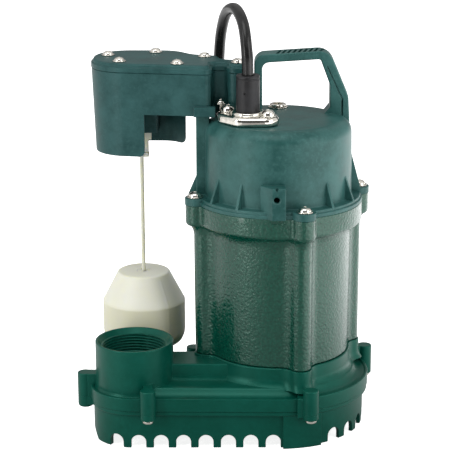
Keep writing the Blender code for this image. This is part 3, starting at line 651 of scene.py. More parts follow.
def hammered_enamel(name):
    """Thick glossy enamel over a rough casting: an orange-peel skin that breaks up reflections."""
    s = Shader(name)
    peel = s.cells(600)
    lumps = s.noise(520, 3)
    swell = s.noise(60, 2)
    height = s.math("ADD", s.math("MULTIPLY", peel, 0.7), s.math("MULTIPLY", lumps, 0.9))
    height = s.math("ADD", height, s.math("MULTIPLY", swell, 0.35))
    tint = s.remap(lumps, 0.35, 0.7)
    base = s.mix(tint, (0.0006, 0.036, 0.023), (0.002, 0.058, 0.037))
    edge_normal = s.soft_edges(0.0009)
    # Painted highlight: the enamel is made a paler green along rounded edges.
    edge_highlight = s.math("MULTIPLY", s.edge_highlight_mask(edge_normal), 0.3)
    s.set(Base_Color=s.mix(edge_highlight, base, (0.02, 0.10, 0.075)))
    s.set(Roughness=s.remap(lumps, 0.3, 0.7, 0.10, 0.20), IOR=1.5)
    s.set(Coat_Weight=0.3, Coat_Roughness=0.06, Specular_Tint=(0.72, 1, 0.86))
    s.set(Normal=s.bump(height, 0.75, 0.0006, edge_normal))


def polished_chrome(name):
    """Bright plating with faint polishing haze."""
    s = Shader(name)
    haze = s.noise(260, 3)
    tint = s.remap(haze, 0.4, 0.65)
    s.set(Base_Color=s.mix(tint, (0.80, 0.77, 0.70), (0.64, 0.61, 0.55)))
    s.set(Metallic=1, Roughness=s.remap(haze, 0.3, 0.7, 0.04, 0.09))
    s.set(Normal=s.bump(s.noise(520, 2), 0.04, 0.00004, s.soft_edges(0.0004)))


def worked_metal(name, colour, roughness, stretch):
    """Turned or drawn metal: fine marks that run along the direction of work."""
    s = Shader(name)
    marks = s.noise(300, 4, stretch=stretch)
    dark = tuple(c * 0.72 for c in colour)
    s.set(Base_Color=s.mix(s.remap(marks, 0.35, 0.65), dark, colour))
    s.set(Metallic=1, Roughness=s.remap(marks, 0.3, 0.7, roughness - 0.08, roughness + 0.10))
    s.set(Normal=s.bump(marks, 0.25, 0.00005, s.soft_edges(0.0003)))


def wound_copper(name):
    """Enamelled wire packed in bundles, with a lacquer gloss."""
    s = Shader(name)
    wanted = {"Vector": s.place, "Scale": 420, "Distortion": 2.2, "Detail": 2}
    strands = s.add("ShaderNodeTexWave", wanted, bands_direction="Z").outputs["Fac"]
    s.set(Base_Color=s.mix(strands, (0.22, 0.07, 0.02), (0.78, 0.36, 0.15)))
    s.set(Metallic=0.85, Roughness=s.remap(strands, 0, 1, 0.45, 0.25), Coat_Weight=0.4)
    s.set(Normal=s.bump(strands, 0.8, 0.0003))


def stacked_steel(name):
    """Thin sheet laminations on end."""
    s = Shader(name)
    wanted = {"Vector": s.place, "Scale": 300, "Distortion": 0, "Detail": 0}
    sheets = s.add("ShaderNodeTexWave", wanted, bands_direction="Z").outputs["Fac"]
    tint = s.noise(70, 3)
    base = s.mix(tint, (0.26, 0.27, 0.29), (0.46, 0.45, 0.44))
    s.set(Base_Color=s.mix(s.math("MULTIPLY", sheets, 0.5), base, (0.12, 0.11, 0.11)))
    s.set(Metallic=0.9, Roughness=0.42, Normal=s.bump(sheets, 0.5, 0.0001))


def float_plastic(name):
    """Unpigmented polypropylene: milky, slightly translucent, with a soft sheen. The cone is painted paler
    than the wall: painted light and shade.
    """
    s = Shader(name)
    haze = s.noise(30, 4)
    height = s.add("ShaderNodeSeparateXYZ", {0: s.place}).outputs[2]
    # Painted light and shade: the cone above the shoulder is painted paler, the wall below darker and more
    # olive.
    shoulder = (low_of("float") + FLOAT_SHOULDER) * MM
    above = s.remap(height, shoulder - 0.002, shoulder + 0.001)
    wall = s.mix(haze, (0.57, 0.56, 0.42), (0.65, 0.64, 0.50))
    lit_cone = s.mix(haze, (0.64, 0.64, 0.54), (0.72, 0.72, 0.63))
    s.set(Base_Color=s.mix(above, wall, lit_cone))
    s.set(Roughness=s.remap(haze, 0.3, 0.7, 0.34, 0.46))
    s.set(Subsurface_Weight=0.4, Subsurface_Radius=(0.010, 0.009, 0.003), Subsurface_Scale=1)
    s.set(Normal=s.bump(s.noise(700, 2), 0.2, 0.00003, s.soft_edges(0.0006)))


def black_rubber(name, roughness, colour):
    """Moulded or extruded black rubber with a faint dusty bloom."""
    s = Shader(name)
    bloom = s.noise(120, 5)
    pale = tuple(c * 2.6 for c in colour)
    s.set(Base_Color=s.mix(s.remap(bloom, 0.4, 0.75), colour, pale))
    s.set(Roughness=s.remap(bloom, 0.3, 0.7, roughness - 0.06, roughness + 0.1), Specular_IOR_Level=0.3)
    s.set(Normal=s.bump(s.noise(800, 2), 0.25, 0.00004, s.soft_edges(0.0005)))


def fired_ceramic(name):
    s = Shader(name)
    grain = s.noise(500, 4)
    s.set(Base_Color=s.mix(grain, (0.78, 0.76, 0.70), (0.62, 0.60, 0.55)))
    s.set(Roughness=s.remap(grain, 0.3, 0.7, 0.2, 0.35), Normal=s.bump(grain, 0.15, 0.00003))


# Dark colour, pale colour, roughness, amount of mottle, gloss and tint of the reflections.
PLASTICS = {
    "base_plastic": ((0.0005, 0.047, 0.031), (0.003, 0.076, 0.054), 0.34, 0.6, 0.36, (0.32, 1, 0.80)),
    "cap_plastic": ((0.006, 0.050, 0.045), (0.032, 0.108, 0.100), 0.42, 1, 0.4, (0.75, 1, 0.98)),
    # The cap plastic again, painted darker for the switch case and cover: painted shade.
    "shaded_cap_plastic": ((0.004, 0.035, 0.034), (0.021, 0.076, 0.074), 0.42, 1, 0.32, (0.72, 1, 1)),
}

# Roughness and colour.
RUBBERS = {
    "black_rubber": (0.44, (0.009, 0.009, 0.010)),
    "cord_jacket": (0.18, (0.007, 0.007, 0.007)),
    "black_plastic": (0.34, (0.018, 0.018, 0.018)),
}

# Colour, roughness and how the marks are stretched.
METALS = {
    "steel": ((0.50, 0.50, 0.51), 0.30, (1, 1, 12)),
    "bearing_steel": ((0.62, 0.62, 0.64), 0.22, (0.2, 0.2, 14)),
    "aluminium": ((0.66, 0.67, 0.68), 0.42, (1, 1, 1)),
    "brass": ((0.76, 0.56, 0.24), 0.24, (10, 1, 1)),
}


def make_materials():
    for name, look in PLASTICS.items():
        moulded_plastic(name, *look)
    hammered_enamel("motor_enamel")
    float_plastic("float_plastic")
    for name, look in RUBBERS.items():
        black_rubber(name, *look)
    polished_chrome("chrome")
    for name, look in METALS.items():
        worked_metal(name, *look)
    stacked_steel("laminations")
    wound_copper("copper_winding")
    fired_ceramic("seal_ceramic")


# Strainer base and volute.


def arch_slot(x, y, heading):
    """An arched opening through the skirt at (x, y), facing along heading."""
    half = SLOT_W / 2
    crown = arc(0, SLOT_H - half, half, 0, 180, 18)
    opening = slab([(half, -1)] + crown + [(-half, -1)], (-7, 7))
    spin = Matrix.Rotation(math.radians(heading - 90), 4, "Z")
    return moved(opening, Matrix.Translation((x, y, 0)) @ spin)


def slot_places():
    """(x, y, heading) of each slot: along the front, then round each end and the back."""
    front = -(BASE_R - SKIRT_INSET) - WALL / 2 + 3
    places = [(FIRST_SLOT_X + SLOT_PITCH * i, front, -90) for i in range(7)]
    end_x, end_y = polar(BOSS_R - 3.5, -114)
    places.append((BOSS_AT[0] + end_x, BOSS_AT[1] + end_y, -114))
    for degrees in [FIRST_SLOT_TURN + SLOT_TURN * i for i in range(12)]:
        places.append((*polar(BASE_R - 5, degrees), degrees))
    for i in range(5):
        t = 0.12 + 0.19 * i
        places.append((-38 - 86 * t, 51.5 - 64.5 * t, 126.5))
    return places


def lug(at, low, high, low_edge, top_edge):
    return boss(LUG_R, at, low, high, low_edge, top_edge)


def build_base():
    skirt = stack(
        lambda inset: base_outline(SKIRT_INSET + inset, SKIRT_END_INSET + inset),
        [(0.7, 0), (0.35, 0.2), (0.2, 0.7), (0, RIM_FOOT + 0.5)],
    )
    rim_levels = [(1.6, RIM_FOOT), (0.9, RIM_FOOT + 0.1), (0.5, RIM_FOOT + 0.6), (0.5, RIM_TOP - 0.3)]
    rim = stack(base_outline, rim_levels + [(0.8, RIM_TOP)])
    lugs = [lug(at, SKIRT_TOP, RIM_TOP, 0.8, 0.2) for at in BASE_BOLTS[:5]]
    lugs.append(lug(BASE_BOLTS[5], END_LUG_LOW, RIM_TOP, 2.6, 0.2))
    lugs.append(box(*FRONT_WEB, (RIM_FOOT, RIM_TOP)))
    lugs.append(soft_box(END_WEB_X, END_WEB_Y, (END_WEB_LOW, RIM_TOP), 0.3))
    foot = arc(0, 0, FOOT_R, *FOOT_ANGLES, 14) + arc(0, 0, 62, *FOOT_ANGLES[::-1], 14)
    lugs.append(prism(foot, 0, RIM_FOOT + 0.5))
    room = prism(base_outline(SKIRT_INSET + WALL), -1, 21)
    eye = rod(EYE_R, (0, 0), 20, 30)
    groove = lathe(rectangle((46.5, 50.5), (26.4, 30)))
    holes = rods(BOLT_HOLE_R, BASE_BOLTS, 20, 32)
    slots = [arch_slot(*place) for place in slot_places()]
    foot_cut = [(-150, -1), (-131, -1), (-136.2, 9), (-150, 9)]
    slots.append(slab(foot_cut, (-80, 10)))
    slots.append(rod(4.8, BASE_BOLTS[5], 15, SKIRT_TOP, 32))
    cuts = [room, eye, groove] + holes + slots
    piece("base_screen", skirt, (ADD, [rim] + lugs), (CUT, cuts))
    for i, at in enumerate(BASE_BOLTS):
        build_base_bolt(f"base_bolt_{i + 1}", at)


def build_base_bolt(node, at):
    """A pan head below its lug, with a cross recess, and the shank above."""
    under, tip = span(node, "z")
    head = SKIRT_TOP - 0.3
    profile = [(0, under), (2.6, under + 0.1)] + arc(3.1, under + 1.2, 1.2, -80, 0)
    profile += [(4.3, head), (2, head), (2, tip - 3), (0, tip - 3)]
    cross = cross_recess(at, under - 0.5, under + 0.9, 1.6)
    piece(node, lathe(profile, at, MEDIUM), (CUT, cross))


def cross_recess(at, low, high, reach):
    """Two crossed bars that cut a driver's recess."""
    x, y = at
    half = 0.32
    first = box((x - reach, x + reach), (y - half, y + half), (low, high))
    second = box((x - half, x + half), (y - reach, y + reach), (low, high))
    return [first, second]


def thread_radius(angle, radius, z):
    """The bore's radius where the pipe thread winds: crests lean from turn to turn."""
    if radius != THREAD_ROOT_R:
        return radius
    phase = (z / THREAD_PITCH - angle / (2 * math.pi)) % 1
    ridge = 1 - abs(2 * phase - 1)
    return THREAD_ROOT_R - (THREAD_ROOT_R - THREAD_CREST_R) * min(ridge * 1.25, 1)


def socket_bore():
    """The socket's bore: a plain throat, the helical thread and a wide chamfered mouth."""
    mouth_depth = 3.9
    low = SOCKET_TOP - mouth_depth - THREAD_PITCH * THREAD_TURNS
    count = THREAD_TURNS * 10
    profile = [(0, 27), (21, 27), (21, low - 1), (THREAD_CREST_R, low - 0.1)]
    for i in range(count + 1):
        profile.append((THREAD_ROOT_R, low + THREAD_PITCH * THREAD_TURNS * i / count))
    top = SOCKET_TOP - mouth_depth
    profile += [(THREAD_ROOT_R + 0.1, top + 0.1), (24.6, top + 0.3), (26.8, SOCKET_TOP - 0.35)]
    profile += [(27.2, SOCKET_TOP + 0.1), (27.2, 76), (0, 76)]
    return lathe(profile, SOCKET_AT, FINE, thread_radius)


def build_volute():
    low, lip, deck_top = VOLUTE_BOTTOM, FLANGE_TOP, DECK_TOP
    boss_r, mouth = SOCKET_R, SOCKET_TOP
    edge = [(0.35, low), (0, low + 0.3), (0, lip - 0.6), (0.2, lip - 0.15)]
    edge += [(0.6, lip), (1.5, lip), (1.9, lip - 0.2), (2.2, lip - 0.8), (5.6, lip - 1)]
    slope = [(7, lip - 0.5), (8.4, lip + 0.5), (9.6, lip + 1.9), (10.6, lip + 3.4), (11.2, lip + 4.2)]
    slope += [(12, lip + 4.5), (14, deck_top + 0.2)]
    deck = stack(base_outline, edge + slope)
    flares = [(3.4, -1.5), (2.4, 0), (1.2, 1.4), (0.4, 3.2), (0, 5.4)]
    levels = [(flare, deck_top + rise) for flare, rise in flares]
    ring = stack(
        lambda flare: lobed(RING_R + flare, COLUMN_AT + flare * 0.8, COLUMN_R + 0.5, COLUMN_FILLET),
        levels + [(0, RING_TOP - 0.6), (-0.5, RING_TOP)],
    )
    walls = rectangle((-110, -14), (-39, -10), 3)
    levels = [(-2.6, deck_top - 1.2), (-1.4, deck_top + 0.2), (-0.5, deck_top + 1.8), (0, deck_top + 4)]
    levels += [(0, RING_TOP - 3.4), (0.5, RING_TOP - 2.2), (1.6, RING_TOP - 1.6)]
    passage = stack(lambda inset: rounded(walls, inset), levels)
    socket_profile = [(0, lip - 3.4), (30.2, lip - 2), (29.4, lip - 0.8), (28.8, lip + 0.1)]
    socket_profile += [(boss_r, lip + 1.5), (boss_r, mouth - 0.9)]
    socket_profile += arc(boss_r - 0.7, mouth - 0.7, 0.7, 20, 90)
    socket_profile += [(0, mouth)]
    tops = [LUG_TOP] * 4 + [BACK_LUG_TOP, LUG_TOP]
    lugs = [lug(at, low, top, 0.2, 0.9) for at, top in zip(BASE_BOLTS, tops)]
    side_web = soft_box((50, 71), (-3.4, 3.4), (36, LUG_TOP - 0.1), 0.8)
    front_web = soft_box(*FRONT_WEB, (low, lip + 1.4), 0.8)
    boss_web = soft_box((-97.4, -90.2), (-69, -50), (36, LUG_TOP), 0.9)
    end_web = soft_box(END_WEB_X, END_WEB_Y, (low, LUG_TOP - 0.1), 1)
    webs = [boss_web, front_web, end_web, turned(side_web, 24), turned(side_web, 100)]
    chamber, shaft_hole = rod(44, (0, 0), 27, 43.5), rod(13, (0, 0), 40, 60)
    channel = box((-104, -33), (-35.4, -13.6), (27, 51.5))
    cuts = [chamber, channel, shaft_hole, socket_bore()] + rods(BOLT_HOLE_R, BASE_BOLTS, 27, 39.3)
    parts = [ring, passage, lathe(socket_profile, SOCKET_AT)] + lugs + webs
    piece("pump_volute", deck, (ADD, parts), (CUT, cuts))


# Motor housing and cap.


def build_housing():
    foot, top = HOUSING_BOTTOM, CAP_BOTTOM - PART_GAP
    sections = [
        (lobed(51.9, COLUMN_AT - 1.1, COLUMN_R, COLUMN_FILLET), foot),
        (lobed(52.4, COLUMN_AT - 0.6, COLUMN_R, COLUMN_FILLET), foot + 0.6),
        (lobed(HOUSING_R, COLUMN_AT, COLUMN_R, COLUMN_FILLET), FLARE_LOW),
    ]
    for turn in (18, 36, 54, 72, 90):
        across, rise = polar(1, turn)
        out = 1 - across
        body_r, lobe_at = HOUSING_R + 6.8 * out, COLUMN_AT + 4.6 * out
        outline = lobed(body_r, lobe_at, COLUMN_R + 0.4 * out, COLUMN_FILLET - 8 * out)
        sections.append((outline, FLARE_LOW + 8.6 * rise))
    sections += [
        (lobed(RIM_R - 0.4, RIM_LOBE_AT - 0.4, COLUMN_R + 0.6, 3.4), 156.6),
        (lobed(RIM_R, RIM_LOBE_AT, COLUMN_R + 0.6, 3), 158),
        (lobed(RIM_R, RIM_LOBE_AT, COLUMN_R + 0.6, 3), top - 0.3),
        (lobed(RIM_R - 0.3, RIM_LOBE_AT - 0.3, COLUMN_R + 0.6, 3), top),
    ]
    bore = [(0, 76), (17, 76), (17, 66), (46.3, 66), (46.3, 152.7)]
    bore += [(47.7, 152.7), (47.7, 174), (0, 174)]
    shaft_line = [(0, 50), (11.3, 50), (11.3, 62), (8, 62), (8, 67.7)]
    shaft_line += [(13.3, 67.7), (13.3, 78), (0, 78)]
    groove = lathe(rectangle((51.6, 55.6), (168.4, 172)))
    holes = rods(CAP_HOLE_R, CAP_SCREWS, 158, 172)
    cuts = [lathe(bore), lathe(shaft_line, steps=MEDIUM), groove] + holes
    piece("motor_housing", loft(sections), (CUT, cuts), smooth=28)


def gusset(degrees, foot, height, thickness):
    """A thin rib that braces the cap's flange against its wall, thinner towards its top edge."""
    start, low, shelf = CAP_R - 2, CAP_BOTTOM + 3, CAP_FLANGE_TOP
    outline = [(start, low), (foot, low), (foot, shelf + 0.6)]
    outline += [(CAP_R + 0.4, shelf + height), (start, shelf + height)]
    return turned(slab(outline, (-thickness / 2, thickness / 2)), degrees)


def handle_shapes():
    corners = [
        (52.6, 222, 0.5), (51.4, 243.5, 8), (37, 277.8, 12), (HANDLE_LEFT, HANDLE_TOP, 8),
        (HANDLE_LEFT, 222, 0.5), (-11.6, 222, 0.5), (-11.6, 268.5, 5), (30.6, 271.2, 2),
        (37.8, 252, 3), (37.8, 236, 3), (33, 230, 2), (33, 222, 0.5),
    ]
    bar = upright(plate(corners, *HANDLE_Y, 1.1, 1.1, steps=9))
    front, back = HANDLE_Y
    step = [(35.2, 266), (36, 266.3), (45.4, 246.2), (47.4, 242.6), (47.4, 229)]
    step += [(46.2, 229), (46.2, 242.3), (44.4, 245.6)]
    slit = [(46.3, 229), (47.3, 229), (47.3, 240), (46.3, 241.5)]
    relief = [slab(step, (front - 1, front + 0.9)), slab(slit, (front - 1, front + 8))]
    grooves = []
    for i in range(9):
        x = -1 + 3.9 * i
        near, far = (x - 1.1, front + 1), (x + 1.9, back - 3.4)
        notch = [near, (near[0] + 2.2, near[1]), (far[0] + 2.2, far[1]), far]
        level = HANDLE_TOP + HANDLE_SLOPE * (x - HANDLE_LEFT)
        grooves.append(prism(notch, level - 1.8, level + 6))
    return bar, relief + grooves


def build_cap():
    low, shelf, top = CAP_BOTTOM, CAP_FLANGE_TOP, CAP_TOP
    wall, rim, bend = CAP_R, RIM_R, CAP_SHOULDER
    dome = [(0, low), (wall + 0.5, low), (wall + 0.5, shelf - 1), (wall, top - bend)]
    dome += arc(wall - bend, top - bend, bend, 6, 90, 14)
    dome += [(0, top)]
    step = shelf - 2.1
    flange = [(0, low), (rim - 0.2, low), (rim, low + 0.2)]
    flange += [(rim, step - 0.3), (rim - 0.3, step), (rim - 1.2, step + 0.15)]
    flange += [(rim - 1.3, shelf - 0.35), (rim - 1.7, shelf)]
    flange += [(wall + 2.2, shelf), (wall + 0.9, shelf + 0.5)]
    flange += [(wall + 0.2, shelf + 1.8), (0, shelf + 1.8)]
    lobe_at = [polar(RIM_LOBE_AT, degrees) for degrees in LOBE_ANGLES]
    lobes = [boss(8.4, at, low, shelf + 0.4, 0.2, 0.5) for at in lobe_at]
    pad = [(-13.2, -55, 0.5), (-5, -64.4, 0.6), (4.6, -64.4, 0.6), (4.6, -45, 0.5), (-13.2, -45, 0.5)]
    block = plate(pad, low, 193.7, 0.5)
    ribs = [gusset(a, 60.2, 17.2, 2) for a in GUSSET_ANGLES]
    ribs.append(gusset(3, 61, 28, 3))
    foot = low + 3
    side = [(-58, foot), (-58, 189), (-59.8, 189), (-65.6, 175.6), (-65.6, foot)]
    ribs.append(slab(side, (-8.6, -6)))
    edge_strip = [(-59.6, -9, 0.7), (-50, -9, 0.3), (-50, 9, 0.3), (-59.6, 9, 0.7)]
    strip = plate(edge_strip, 173, CASE_FLOOR - 0.2, 0.4)
    levels = [(6, 203), (2.4, 212), (-0.6, 222), (-1.2, top - 1.6), (-0.7, top - 0.4), (0, top + 0.05)]
    seat = stack(lambda inset: rounded(CLAMP_CORNERS, inset), levels)
    handle, handle_cuts = handle_shapes()
    cavity = [(0, 160), (48.5, 160), (48.5, 215)]
    cavity += arc(41.5, 215, 7, 15, 90, 6)
    cavity += [(0, 222)]
    cuts = [lathe(cavity), rod(RELIEF_HOLE_R, RELIEF_AT, 195, 240)]
    cuts += rods(CAP_HOLE_R, CAP_SCREWS, 165, 180)
    cuts += rods(TOP_HOLE_R, CLAMP_SCREWS + CASE_SCREWS, 224, 240)
    cuts.append(rod(OIL_HOLE_R, OIL_PLUG_AT, 215, 240, 32))
    pad_hole = [(0, -70), (3.1, -70), (3.1, -64.35), (2.1, -63.6), (2.1, -49.5), (0, -49.5)]
    cuts.append(upright(lathe(pad_hole, (-1.8, 185.3), 32)))
    cuts.append(slab([(-3.5, 194.5), (-1.8, 191.2), (-0.1, 194.5)], (-70, -61)))
    parts = [lathe(flange), block, strip, seat, handle] + lobes + ribs
    piece("motor_cap", lathe(dome), (ADD, parts), (CUT, cuts + handle_cuts))


# Screws, plug and clamp.


def pan_screws(kind, places, *sizes, **more):
    for i, at in enumerate(places):
        pan_screw(f"{kind}_{i + 1}", at, *sizes, **more)


def pan_screw(node, at, head=4.8, rise=2.9, shank=2, lift=0):
    """A domed head on a thin flange, with a cross recess, and the shank below."""
    tip, crown = span(node, "z")
    crown += lift
    seat = crown - rise
    dome = head * 0.78
    profile = [(0, tip), (shank, tip), (shank, seat), (head, seat), (head + 0.1, seat + 0.25)]
    profile += [(head, seat + 0.55), (head - 0.3, seat + 0.7), (dome + 0.2, seat + 0.6), (dome, seat + 0.4)]
    steps = 10
    for i in range(steps):
        turn = math.radians(90 * i / steps)
        profile.append((dome * math.cos(turn) ** 0.75, seat + 0.8 + (rise - 0.8) * math.sin(turn)))
    profile.append((0, crown))
    cross = cross_recess(at, crown - 0.3, crown + 1, head * 0.2)
    piece(node, lathe(profile, at, MEDIUM), (CUT, cross))


def build_cap_fittings():
    pan_screws("cap_screw", CAP_SCREWS, 6, 3.7, lift=0.8)
    x, y = OIL_PLUG_AT
    low, high = span("oil_plug_washer", "z")
    star = []
    for i in range(96):
        reach = 7.3 + 0.4 * math.cos(2 * math.pi * 12 * i / 96)
        px, py = polar(reach, 360 * i / 96)
        star.append((x + px, y + py))
    hole = rod(OIL_HOLE_R, OIL_PLUG_AT, low - 1, high + 1)
    piece("oil_plug_washer", prism(star, low, high), (CUT, [hole]))
    tip, crown = span("oil_fill_plug", "z")
    seat = crown - 1.8
    plug = [(0, tip), (4, tip), (4, seat), (6.1, seat), (6.3, seat + 0.3), (6.2, seat + 1.1)]
    plug += [(5.8, crown - 0.2), (5.3, crown), (4.1, crown), (3.7, crown - 0.3), (3.5, seat - 1.2)]
    plug += [(0, seat - 1.9)]
    piece("oil_fill_plug", lathe(plug, OIL_PLUG_AT, MEDIUM))


def build_clamp():
    low, high = span("cord_clamp", "z")
    plate_top = high - 2
    body = soft_prism(lambda inset: rounded(CLAMP_CORNERS, inset - 1.3), low, plate_top, 3, 1.8)
    inner = RELIEF_HOLE_R
    collar = [(inner - 1, plate_top - 2), (inner + 4.4, plate_top - 0.4), (inner + 3.6, plate_top)]
    collar += [(inner + 3.2, plate_top + 0.4)]
    collar += arc(inner + 1.9, high - 1.2, 1.3, 0, 90)
    collar += [(inner + 0.4, high), (inner - 1, high)]
    hole = rod(inner, RELIEF_AT, low - 2, high + 2, 64)
    holes = rods(2.4, CLAMP_SCREWS, low - 2, high + 2)
    seats = rods(6.4, CLAMP_SCREWS, plate_top - 0.6, high + 1, 48)
    cuts = [hole] + holes + seats
    piece("cord_clamp", body, (ADD, [lathe(collar, RELIEF_AT, 64)]), (CUT, cuts))
    pan_screws("clamp_screw", CLAMP_SCREWS, 6, 4.6, lift=2.4)


def build_cord():
    low, top = span("strain_relief", "z")
    inner = CORD_R + 0.3
    relief = [(inner, low), (RELIEF_R, low), (RELIEF_R, top - 3.2), (RELIEF_R - 0.3, top - 2.9)]
    relief += [(RELIEF_R - 0.3, top - 2.3), (RELIEF_R, top - 2)]
    relief += arc(RELIEF_R - 0.8, top - 0.8, 0.8, 0, 90)
    relief += [(inner + 0.9, top), (inner, top - 0.7)]
    x, y = RELIEF_AT
    dimple = slab(circle(0.8, x - 2.3, 253.7, 20), (y - 12, y - RELIEF_R + 1.3))
    piece("strain_relief", lathe(relief, RELIEF_AT, 64), (CUT, [dimple]))
    bend = [
        (-22, -19.5, 220), (-22, -19.5, 243), (-22.1, -19.4, 266), (-23, -17.5, 285),
        (-25.6, -8, 301), (-31, 10, 308.2), (-37.5, 31, 303), (-41.5, 48, 288),
        (-43.6, 58.5, 268), (-44.6, 66, 235), (-45, 74, 170), (-44, 83, 90),
        (-46, 92, 42), (-48, 100, 16), (-40, 105, 8), (-28, PLUG_Y, 10.5),
        (-15, PLUG_Y, 12.5), (-5, PLUG_Y, PLUG_Z), (9, PLUG_Y, PLUG_Z),
    ]
    piece("power_cord", sweep(spline(bend), CORD_R))


def build_plug():
    """The moulded plug, which lies behind the pump along X."""
    start = span("plug_body", "x")[0]
    length = span("plug_body", "x")[1] - start
    lie = Matrix.Translation((start, PLUG_Y, PLUG_Z)) @ Matrix.Rotation(math.radians(90), 4, "Y")
    grip = [(0, 0), (5.9, 0)] + arc(5.8, 0.8, 0.8, -60, 0, 3)
    for i in range(4):
        at = 2.6 + 3.9 * i
        ring = 6.8 + 0.3 * i
        grip += [(ring, at), (ring, at + 1.6), (ring - 0.9, at + 2), (ring - 0.9, at + 3.4)]
    grip += [(7.9, 18.4), (9, 21), (10.6, 24.4), (11.3, 28), (11.7, 34)]
    grip += arc(10.8, length - 1, 1, 10, 90) + [(0, length)]
    cord_hole = moved(rod(CORD_R + 0.5, (0, 0), -4, 16.6), lie)
    slots = []
    for node in ("plug_blade_1", "plug_blade_2"):
        wide, tall, long = span(node, "y"), span(node, "z"), span(node, "x")
        slots.append(box((23, 45), (wide[0] - 0.3, wide[1] + 0.3), (tall[0] - 0.3, tall[1] + 0.3)))
        tip = [(long[0], tall[0]), (long[1] - 1.2, tall[0]), (long[1], tall[0] + 1)]
        tip += [(long[1], tall[1] - 1), (long[1] - 1.2, tall[1]), (long[0], tall[1])]
        eye = slab(circle(1.3, long[1] - 4.5, sum(tall) / 2, 24), (wide[0] - 1, wide[1] + 1))
        piece(node, slab(tip, wide), (CUT, [eye]))
    low = span("plug_ground_pin", "z")
    pin_at = Matrix.Translation((0, 0, sum(low) / 2 - PLUG_Z)) @ lie
    pin_start, pin_end = (value - start for value in span("plug_ground_pin", "x"))
    slots.append(moved(rod(2.7, (0, 0), pin_start - 0.5, length + 8), pin_at))
    pin = [(0, pin_start), (2.4, pin_start), (2.4, pin_end - 2)]
    pin += arc(0.4, pin_end - 2, 2, 15, 90, 5) + [(0, pin_end)]
    piece("plug_ground_pin", moved(lathe(pin, steps=MEDIUM), pin_at))
    piece("plug_body", moved(lathe(grip, steps=64), lie), (CUT, [cord_hole] + slots))


# Switch case and its cover.


def case_section(inset, z):
    """The case outline at height z: its walls lean in towards the bottom."""
    return rounded(CASE_CORNERS, inset + max(CASE_TOP - z, 0) * CASE_DRAFT), z


def skirt_cut(edge_x, y):
    """Clears the hanging skirt on the +X side of edge_x, and rounds its lower corner."""
    turn = 4.5
    round_end = arc(edge_x - turn, SKIRT_LOW + turn, turn, 0, -90, 12)
    outline = [(edge_x, CASE_FLOOR)] + round_end + [(edge_x - turn, 190), (0, 190)]
    return slab(outline + [(0, CASE_FLOOR)], y)


def build_case():
    levels = [(0.6, SKIRT_LOW), (0.15, SKIRT_LOW + 0.2), (0, SKIRT_LOW + 0.7)]
    levels += [(0, CASE_TOP - 0.35), (0.35, CASE_TOP)]
    shell = loft([case_section(*level) for level in levels])
    upper = loft([case_section(CASE_WALL, CASE_FLOOR + 3), case_section(CASE_WALL, CASE_TOP + 1)])
    lower = loft([case_section(CASE_WALL, SKIRT_LOW - 1), case_section(CASE_WALL, CASE_FLOOR)])
    front_tab = [(-47.6, -9, 0.5), (-46.6, -9, 0.5), (-46.2, -4, 2), (-37.7, -4, 3)]
    front_tab += [(-37.7, 9, 1), (-47.6, 9, 0.5)]
    back_tab = [(-47, 14, 1), (-29.5, 13, 1), (-29.5, 27.4, 4), (-47, 27.4, 1)]
    tabs = [plate(tab, CAP_TOP + 0.3, TAB_TOP, 0.6, steps=5) for tab in (front_tab, back_tab)]
    tabs.append(soft_box((-61, -45.4), (-13.5, -8), (CASE_FLOOR + 0.4, TAB_TOP), 0.7))
    sleeve = soft_box((-107, -89.5), (24, 36), (214, 235))
    rib = box((-92, -89), (35.5, 52), (212, 234.6))
    post = rod(2, (-60.8, 29.6), 235, 251.4, 24)
    bosses = rods(BOSS_POST_R, COVER_SCREWS, CASE_FLOOR + 1, CASE_TOP - 0.1, 32)
    slot = box((-99.8, -93.4), (28, 32), (205, 240))
    well = rod(3.4, ROD_AT, 205, 223, 32)
    holes = rods(1.9, COVER_SCREWS, CASE_TOP - 13, CASE_TOP + 1, 20)
    holes += rods(TOP_HOLE_R, CASE_SCREWS, 228, 250)
    skirts = [skirt_cut(-97.2, (-30, 18)), skirt_cut(-68.8, (17, 80))]
    changes = [(CUT, [room]) for room in (upper, lower, *skirts)]
    changes += [(ADD, tabs + [sleeve, rib, post] + bosses), (CUT, [slot, well] + holes)]
    piece("switch_case", shell, *changes)
    pan_screws("case_screw", CASE_SCREWS)


def build_cover():
    low, high = span("cover_gasket", "z")
    outer = prism(rounded(CASE_CORNERS, 1.7), low, high)
    inner = prism(rounded(CASE_CORNERS, 3.2), low - 1, high + 1)
    piece("cover_gasket", outer, (CUT, [inner]))
    seat, high = span("switch_cover", "z")
    low = CASE_TOP + 0.1
    lip = COVER_LIP
    levels = [(0.1, low), (-0.3, low + 0.3), (-0.3, lip - 0.5), (0, lip - 0.1), (0.7, lip + 0.1)]
    levels += [(1, lip + 0.5), (1.2, high - 1.4), (1.6, high - 0.7), (2.4, high - 0.2), (3.6, high)]
    shell = stack(lambda inset: rounded(CASE_CORNERS, inset), levels)
    gasket_room = prism(rounded(CASE_CORNERS, 1.5), low - 1, seat)
    room = prism(rounded(CASE_CORNERS, 5), low - 1, 267)
    bosses = rods(BOSS_POST_R, COVER_SCREWS, seat, lip, 32)
    holes = rods(2.2, COVER_SCREWS, 258, 275)
    changes = [(CUT, [room]), (CUT, [gasket_room]), (ADD, bosses), (CUT, holes)]
    piece("switch_cover", shell, *changes)
    pan_screws("cover_screw", COVER_SCREWS, shank=1.6)


# Float, rod and carrier.


